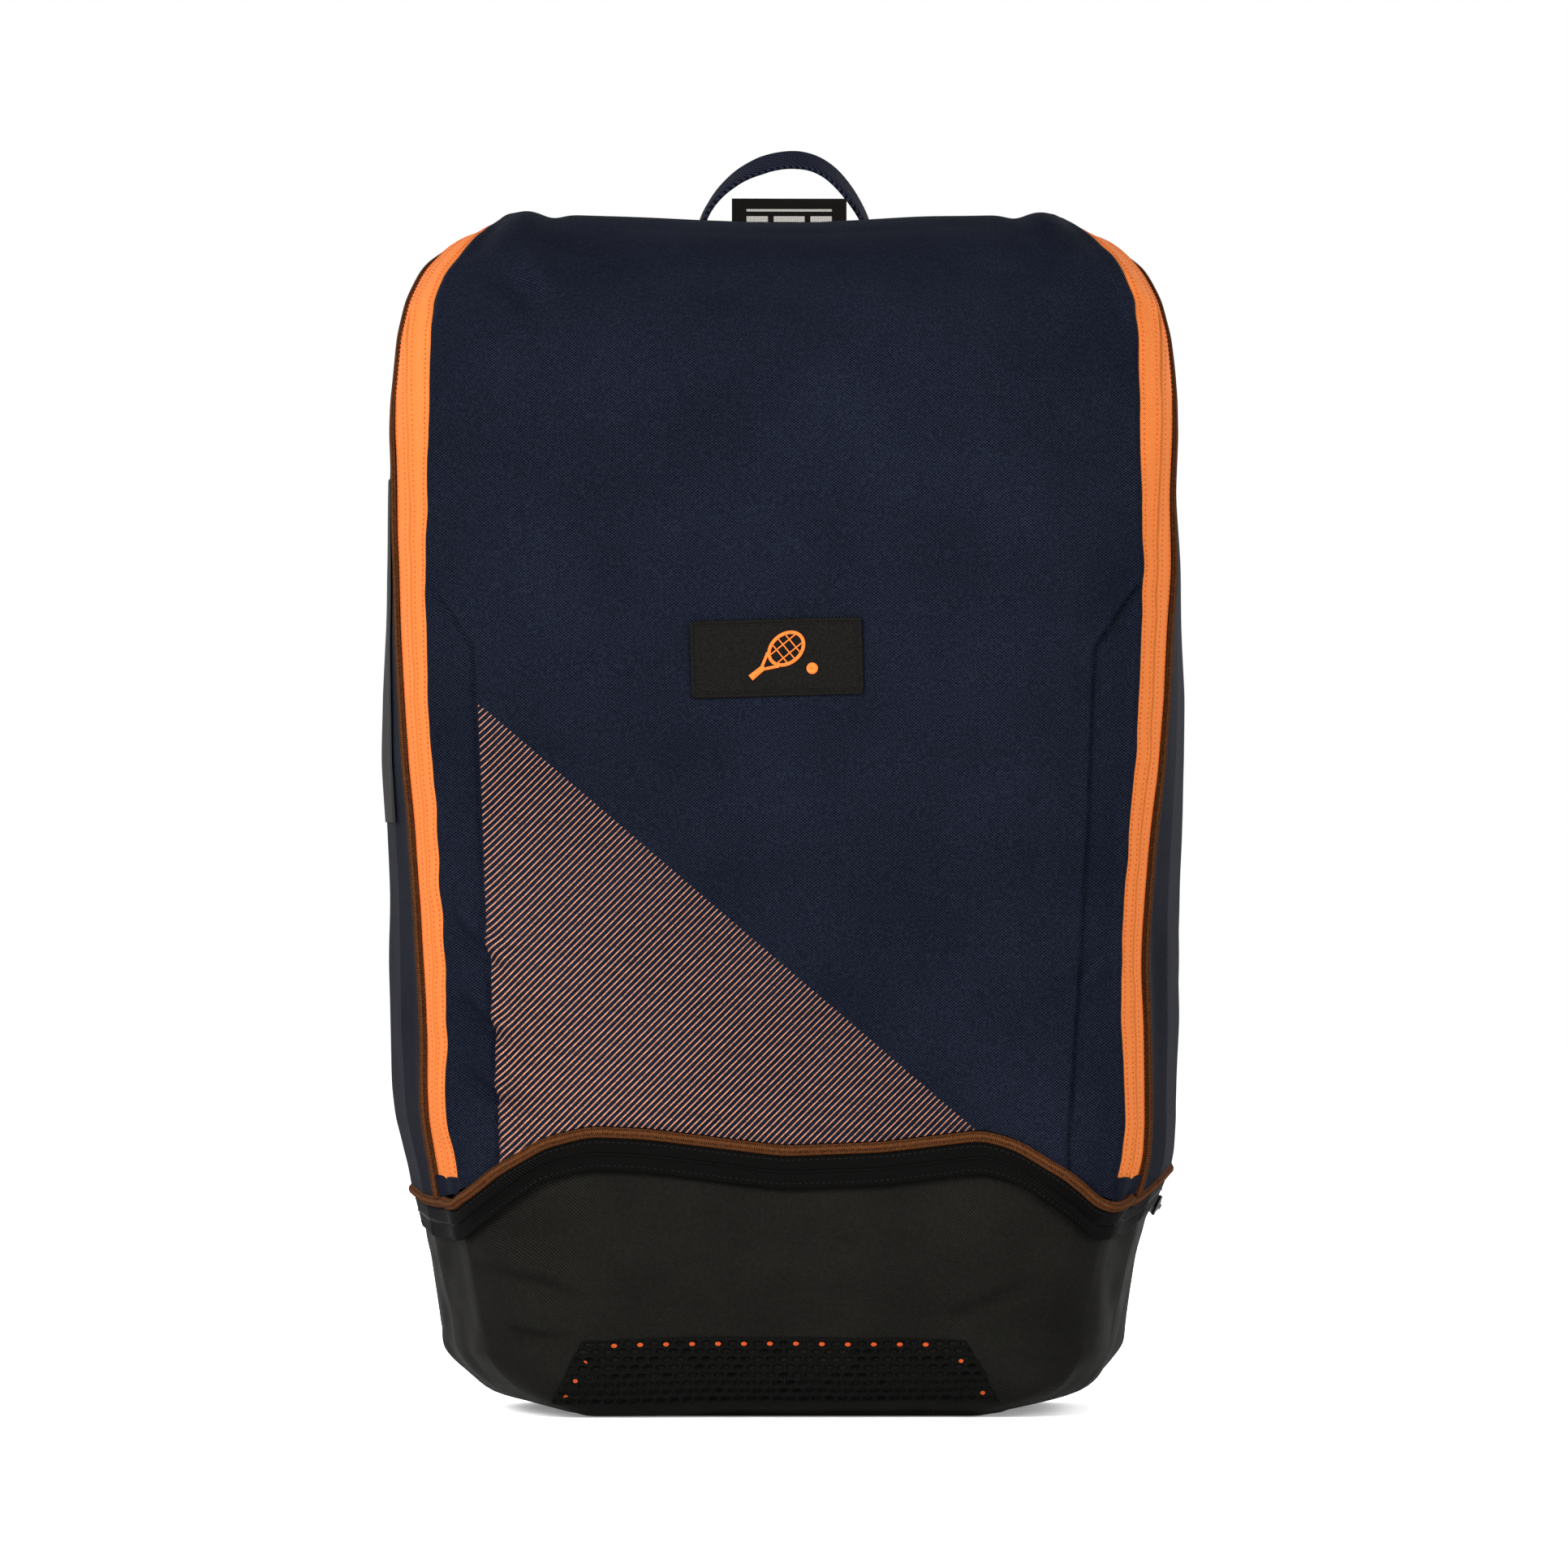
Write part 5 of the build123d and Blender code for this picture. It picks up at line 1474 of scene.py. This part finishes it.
for side, word in ((-1, "left"), (1, "right")):
    origin = np.array([side * 52.0, BACK_Y, 458.0])
    run = np.array([side * 36.0, 0, -273.0])
    length = np.linalg.norm(run)
    along = run / length
    across = np.cross(along, OUT)

    def place(a, o, c):
        a, o, c = (np.asarray(v)[..., None] for v in (a, o, c))
        return origin + a * along + o * OUT + c * across

    def arc(a):
        return centre[1] + np.sqrt(radius ** 2 - (a - centre[0]) ** 2)

    centre, radius = circle_through((14, 16.0), (0.45 * length, 52.0), (length, 29.0))
    a = np.linspace(13.6, length + 0.4, 200 // quick_step)
    middle = arc(a)
    slope = -(a - centre[0]) / np.sqrt(radius ** 2 - (a - centre[0]) ** 2)
    half = strap_half(a, length)
    angle = np.linspace(0, 2 * math.pi, 72, endpoint=False)
    c, s = np.cos(angle), np.sin(angle)
    wide = np.sign(c) * np.abs(c) ** 0.6
    puff = np.sign(s) * np.abs(s) ** 0.75
    thick = 5.2 * np.clip(np.minimum(a - 13.0, length + 1.0 - a) / 7.0, 0.25, 1) ** 0.5 * quilted(a)
    o = middle[:, None] + puff[None, :] * thick[:, None] / np.sqrt(1 + slope ** 2)[:, None]
    shift = -puff[None, :] * thick[:, None] * (slope / np.sqrt(1 + slope ** 2))[:, None]
    points = place(a[:, None] + shift, o, half[:, None] * wide[None, :])
    uv = np.stack(np.broadcast_arrays(wide[None, :] * 31, a[:, None]), -1)
    faces = grid_faces(len(a), 72, wrap=True).tolist()
    faces += [list(range(72))[::-1], [(len(a) - 1) * 72 + k for k in range(72)]]
    pad = make_object(f"strap_cushion_{word}", points.reshape(-1, 3), faces, uv.reshape(-1, 2))
    mid = len(a) // 2
    probe = pad.data.polygons[mid * 72 + 18]
    if probe.normal.dot(probe.center - Vector(place(a[mid], middle[mid], 0.0) * MM)) < 0:
        pad.data.flip_normals()
    pad.data.materials.append(PAD_MESH)
    edges = []
    for edge in (-1, 1):
        line = place(a[2:-2], middle[2:-2], edge * (half[2:-2] + 0.2))
        cord = tube_object("binding", line, 1.9, 10, normal=np.tile(OUT, (len(line), 1)), squash=1.3)
        cord.data.materials.append(BLACK_WEB)
        edges.append(cord)
    inner_a = np.linspace(20, length - 6, 120)
    spine = place(inner_a, arc(inner_a) + (5.2 * quilted(inner_a) + 0.9), 0 * inner_a)
    band = webbing("daisy", spine, across, 20, 1.4, BLACK_WEB)
    pad = join(f"strap_cushion_{word}", [pad, *edges, band])
    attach(pad, f"strap_{word}")
    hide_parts(f"strap_pad_{word}")

    # Top tab, from the anchor on the back into the pad
    ta = np.linspace(-2, 26, 40)
    to = np.interp(ta, [-2, 6, 14, 26], [6.5, 8.5, 13.5, 18.5])
    spine = blurred(place(ta, to, 0 * ta), 2)
    tab = webbing(f"strap_top_web_{word}", spine, across, 25, 1.8, BLACK_WEB)
    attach(tab, f"strap_{word}")
    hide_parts(f"strap_top_tab_{word}")

    def anchor_place(u, v, h, side=side):
        return on_back(side * 51.0 + u, 458.0 + v, h)
    profile = [(0, -0.5), (0, 1.2), (0.4, 1.8), (1.2, 2.0), (4, 2.0), (10, 2.0)]
    anchor = face_out(moulded("anchor", anchor_place, 30, 11, 2, profile, 120), (0, 1, 0))
    anchor.data.materials.append(BLACK_WEB)
    seams = []
    for end in (-1, 1):
        box = [(26, -8), (4, -8), (4, 8), (26, 8), (26, -8), (4, 8)]
        line = resample(np.array([(end * u, v, 0.0) for u, v in box]), 200)
        line = anchor_place(line[:, 0], line[:, 1], np.full(200, 2.0))
        seams.append(dashes("anchor_seam", line, 2.6, 1.9, 0.5, 0.35, OUT))
    anchor = join(f"strap_anchor_{word}", [anchor, *seams])
    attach(anchor, "root")
    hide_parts(f"strap_top_anchor_{word}")

    # Ladder lock: three bars between two rails
    lock_out, axes = 29.0, [along, across, OUT]
    bars = []
    for at, rise, size in ((0.6, 0, 1.6), (11.0, 0.8, 4.2), (20.5, 0, 3.0)):
        bar_centre = place(length + at + 0.4, lock_out + rise, 0.0)
        bars.append(soft_block("bar", bar_centre, axes, (size, 33, 3.6), 1.0, PLASTIC))
    for edge in (-1, 1):
        rail_centre = place(length + 11.0, lock_out, edge * 15.4)
        bars.append(soft_block("rail", rail_centre, axes, (22, 3.4, 4.6), 1.2, PLASTIC))
    lock = join(f"ladder_lock_plastic_{word}", bars)
    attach(lock, f"strap_{word}")
    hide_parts(f"ladder_lock_{word}")

    # Webbing from the lock to the lower tab, with its tail through the lock
    foot = np.array([side * 122.0, BACK_Y + 5.5, 54.0])
    start = place(length + 23.5, 27.6, 0.0)
    t = np.linspace(0, 1, 80)[:, None]
    spine = start * (1 - t) + foot * t + OUT * (2.0 * np.sin(t * math.pi))
    lower_web = webbing("lower", spine, unit(np.cross(tangents(spine), OUT)), 25, 1.6, BLACK_WEB)
    ta = np.linspace(length + 6, length + 64, 60)
    to = np.interp(ta, [length + 6, length + 14, length + 24, length + 64], [29.5, 33.0, 33.5, 31.5])
    to = to + 1.0 * np.sin((ta - length) / 16)
    tail = webbing("tail", place(ta, to, 0 * ta), across, 25, 1.6, BLACK_WEB)
    web = join(f"strap_lower_web_{word}", [lower_web, tail])
    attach(web, f"strap_{word}")
    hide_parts(f"strap_webbing_{word}")

    # Triangular tab sewn into the lower side seam
    corners = np.array([(side * 88.0, 33.0), (side * 133.0, 33.0), (side * 137.0, 78.0)])

    def triangle(count, scale):
        run = [np.linspace(corners[k], corners[(k + 1) % 3], count, endpoint=False) for k in range(3)]
        return corners.mean(0) + (np.concatenate(run) - corners.mean(0)) * scale

    rings = []
    for scale, height in ((1.0, -0.5), (1.0, 1.2), (0.985, 1.8), *((k, 2.0) for k in np.linspace(0.95, 0.03, 16))):
        outline = triangle(30, scale)
        rings.append(round_back(outline[:, 0], outline[:, 1], height))
    faces = grid_faces(19, 90, wrap=True).tolist() + [list(range(18 * 90, 19 * 90))]
    tab = face_out(make_object("tab", np.array(rings).reshape(-1, 3), faces, np.tile(outline, (19, 1))), (0, 1, 0))
    tab.data.materials.append(BACK_CLOTH)
    outline = triangle(60, 0.86)
    row = dashes("tab_seam", round_back(outline[:, 0], outline[:, 1], 2.0), 2.8, 2.0, 0.5, 0.35, OUT)
    tab = join(f"strap_corner_tab_{word}", [tab, row])
    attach(tab, "root")
    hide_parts(f"strap_bottom_tab_{word}")


# ---------------------------------------------------------------- inside
def inside_slab(name, node, low, high, radius, material):
    """A flat piece inside the bag, in place of its CAD node."""
    low, high = np.array(low, float), np.array(high, float)
    slab = soft_block(name, (low + high) / 2, np.eye(3), high - low, radius, material, 3)
    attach(slab, "root")
    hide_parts(node)
    return slab


# The divider follows the body's outline a little inside the wall
count = 160
angle = np.linspace(0, 2 * math.pi, count, endpoint=False)
ray = np.stack([np.cos(angle) * 160, np.sin(angle) * 100 - 8, np.full(count, 101.0)], -1)
outline = at_height(ray)
outline = outline - normals(outline) * np.array([1, 1, 0]) * 3.2
rings = []
for scale, z in ((0.0, 102.6), (0.5, 102.8), (0.97, 102.6), (1.0, 101.6), (1.0, 100.6), (0.97, 99.8), (0.0, 99.8)):
    ring = outline * np.array([scale, scale, 0]) + np.array([0, -8 * (1 - scale), z])
    rings.append(ring)
rings = np.array(rings)
faces = grid_faces(7, count, wrap=True)
divider = make_object("divider_cloth", rings.reshape(-1, 3), faces, rings[..., :2].reshape(-1, 2))
if divider.data.polygons[5 * count - 1].normal.z > 0:
    divider.data.flip_normals()
divider.data.materials.append(LINING)
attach(divider, "root")
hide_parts("divider_floor")
racket_wall = inside_slab("racket_divider_panel", "racket_divider", (-144, 51, 103), (144, 56, 428), 2.2,
                          LINING)
low, high = box_of("back_foam_board")
inside_slab("back_foam_sheet", "back_foam_board", low + [0, -4.5, 0], high - [0, 4.5, 0], 2.0,
            FOAM)
low, high = box_of("base_board")
inside_slab("base_stiffener", "base_board", low + [0, 0, 1.5], high + [0, 0, 1.5], 0.8,
            BOARD)


# ---------------------------------------------------------------- camera, light, floor
def soft_box(name, place, target, size, power):
    """A large soft lamp that looks at a target."""
    light = bpy.data.lights.new(name, "AREA")
    light.shape, light.size, light.size_y, light.energy = "RECTANGLE", size[0], size[1], power
    obj = bpy.data.objects.new(name, light)
    bpy.context.scene.collection.objects.link(obj)
    obj.location = place
    obj.rotation_euler = (Vector(target) - Vector(place)).to_track_quat("-Z", "Y").to_euler()


scene = bpy.context.scene
scene.view_settings.view_transform = "Standard"
camera = bpy.data.objects.new("camera", bpy.data.cameras.new("camera"))
scene.collection.objects.link(camera)
CAMERA_DISTANCE, VIEW_WIDTH, SENSOR_WIDTH = 6.0, 0.657, 36
camera.location = (0, -CAMERA_DISTANCE, 0.262)
camera.rotation_euler = (math.radians(90), 0, 0)
camera.data.lens = SENSOR_WIDTH * CAMERA_DISTANCE / VIEW_WIDTH
camera.data.clip_end = 100
scene.camera = camera

floor_mesh = bpy.data.meshes.new("floor")
floor_mesh.from_pydata([(-8, -8, 0), (8, -8, 0), (8, 8, 0), (-8, 8, 0)], [], [(0, 1, 2, 3)])
floor = bpy.data.objects.new("floor", floor_mesh)
scene.collection.objects.link(floor)
white = bpy.data.materials.new("floor_white")
white.use_nodes = True
white_shader = white.node_tree.nodes["Principled BSDF"]
white_shader.inputs["Base Color"].default_value = (0.86, 0.86, 0.86, 1)
white_shader.inputs["Roughness"].default_value = 0.9
white_shader.inputs["Emission Color"].default_value = (1, 1, 1, 1)
white_shader.inputs["Emission Strength"].default_value = 0.22
floor_mesh.materials.append(white)

world = bpy.data.worlds.new("studio")
scene.world = world
world.use_nodes = True
world.node_tree.nodes["Background"].inputs[0].default_value = (1, 1, 1, 1)
world.node_tree.nodes["Background"].inputs[1].default_value = 1.0
AIM = (0, 0, 0.27)
soft_box("key", (-1.5, -2.4, 1.3), AIM, (1.3, 1.3), 175)
soft_box("fill", (1.9, -2.2, 0.9), AIM, (1.3, 1.5), 78)
soft_box("back_left", (-1.9, 2.2, 1.5), AIM, (1.3, 1.3), 85)
soft_box("back_right", (1.7, 2.4, 1.3), AIM, (1.3, 1.3), 70)
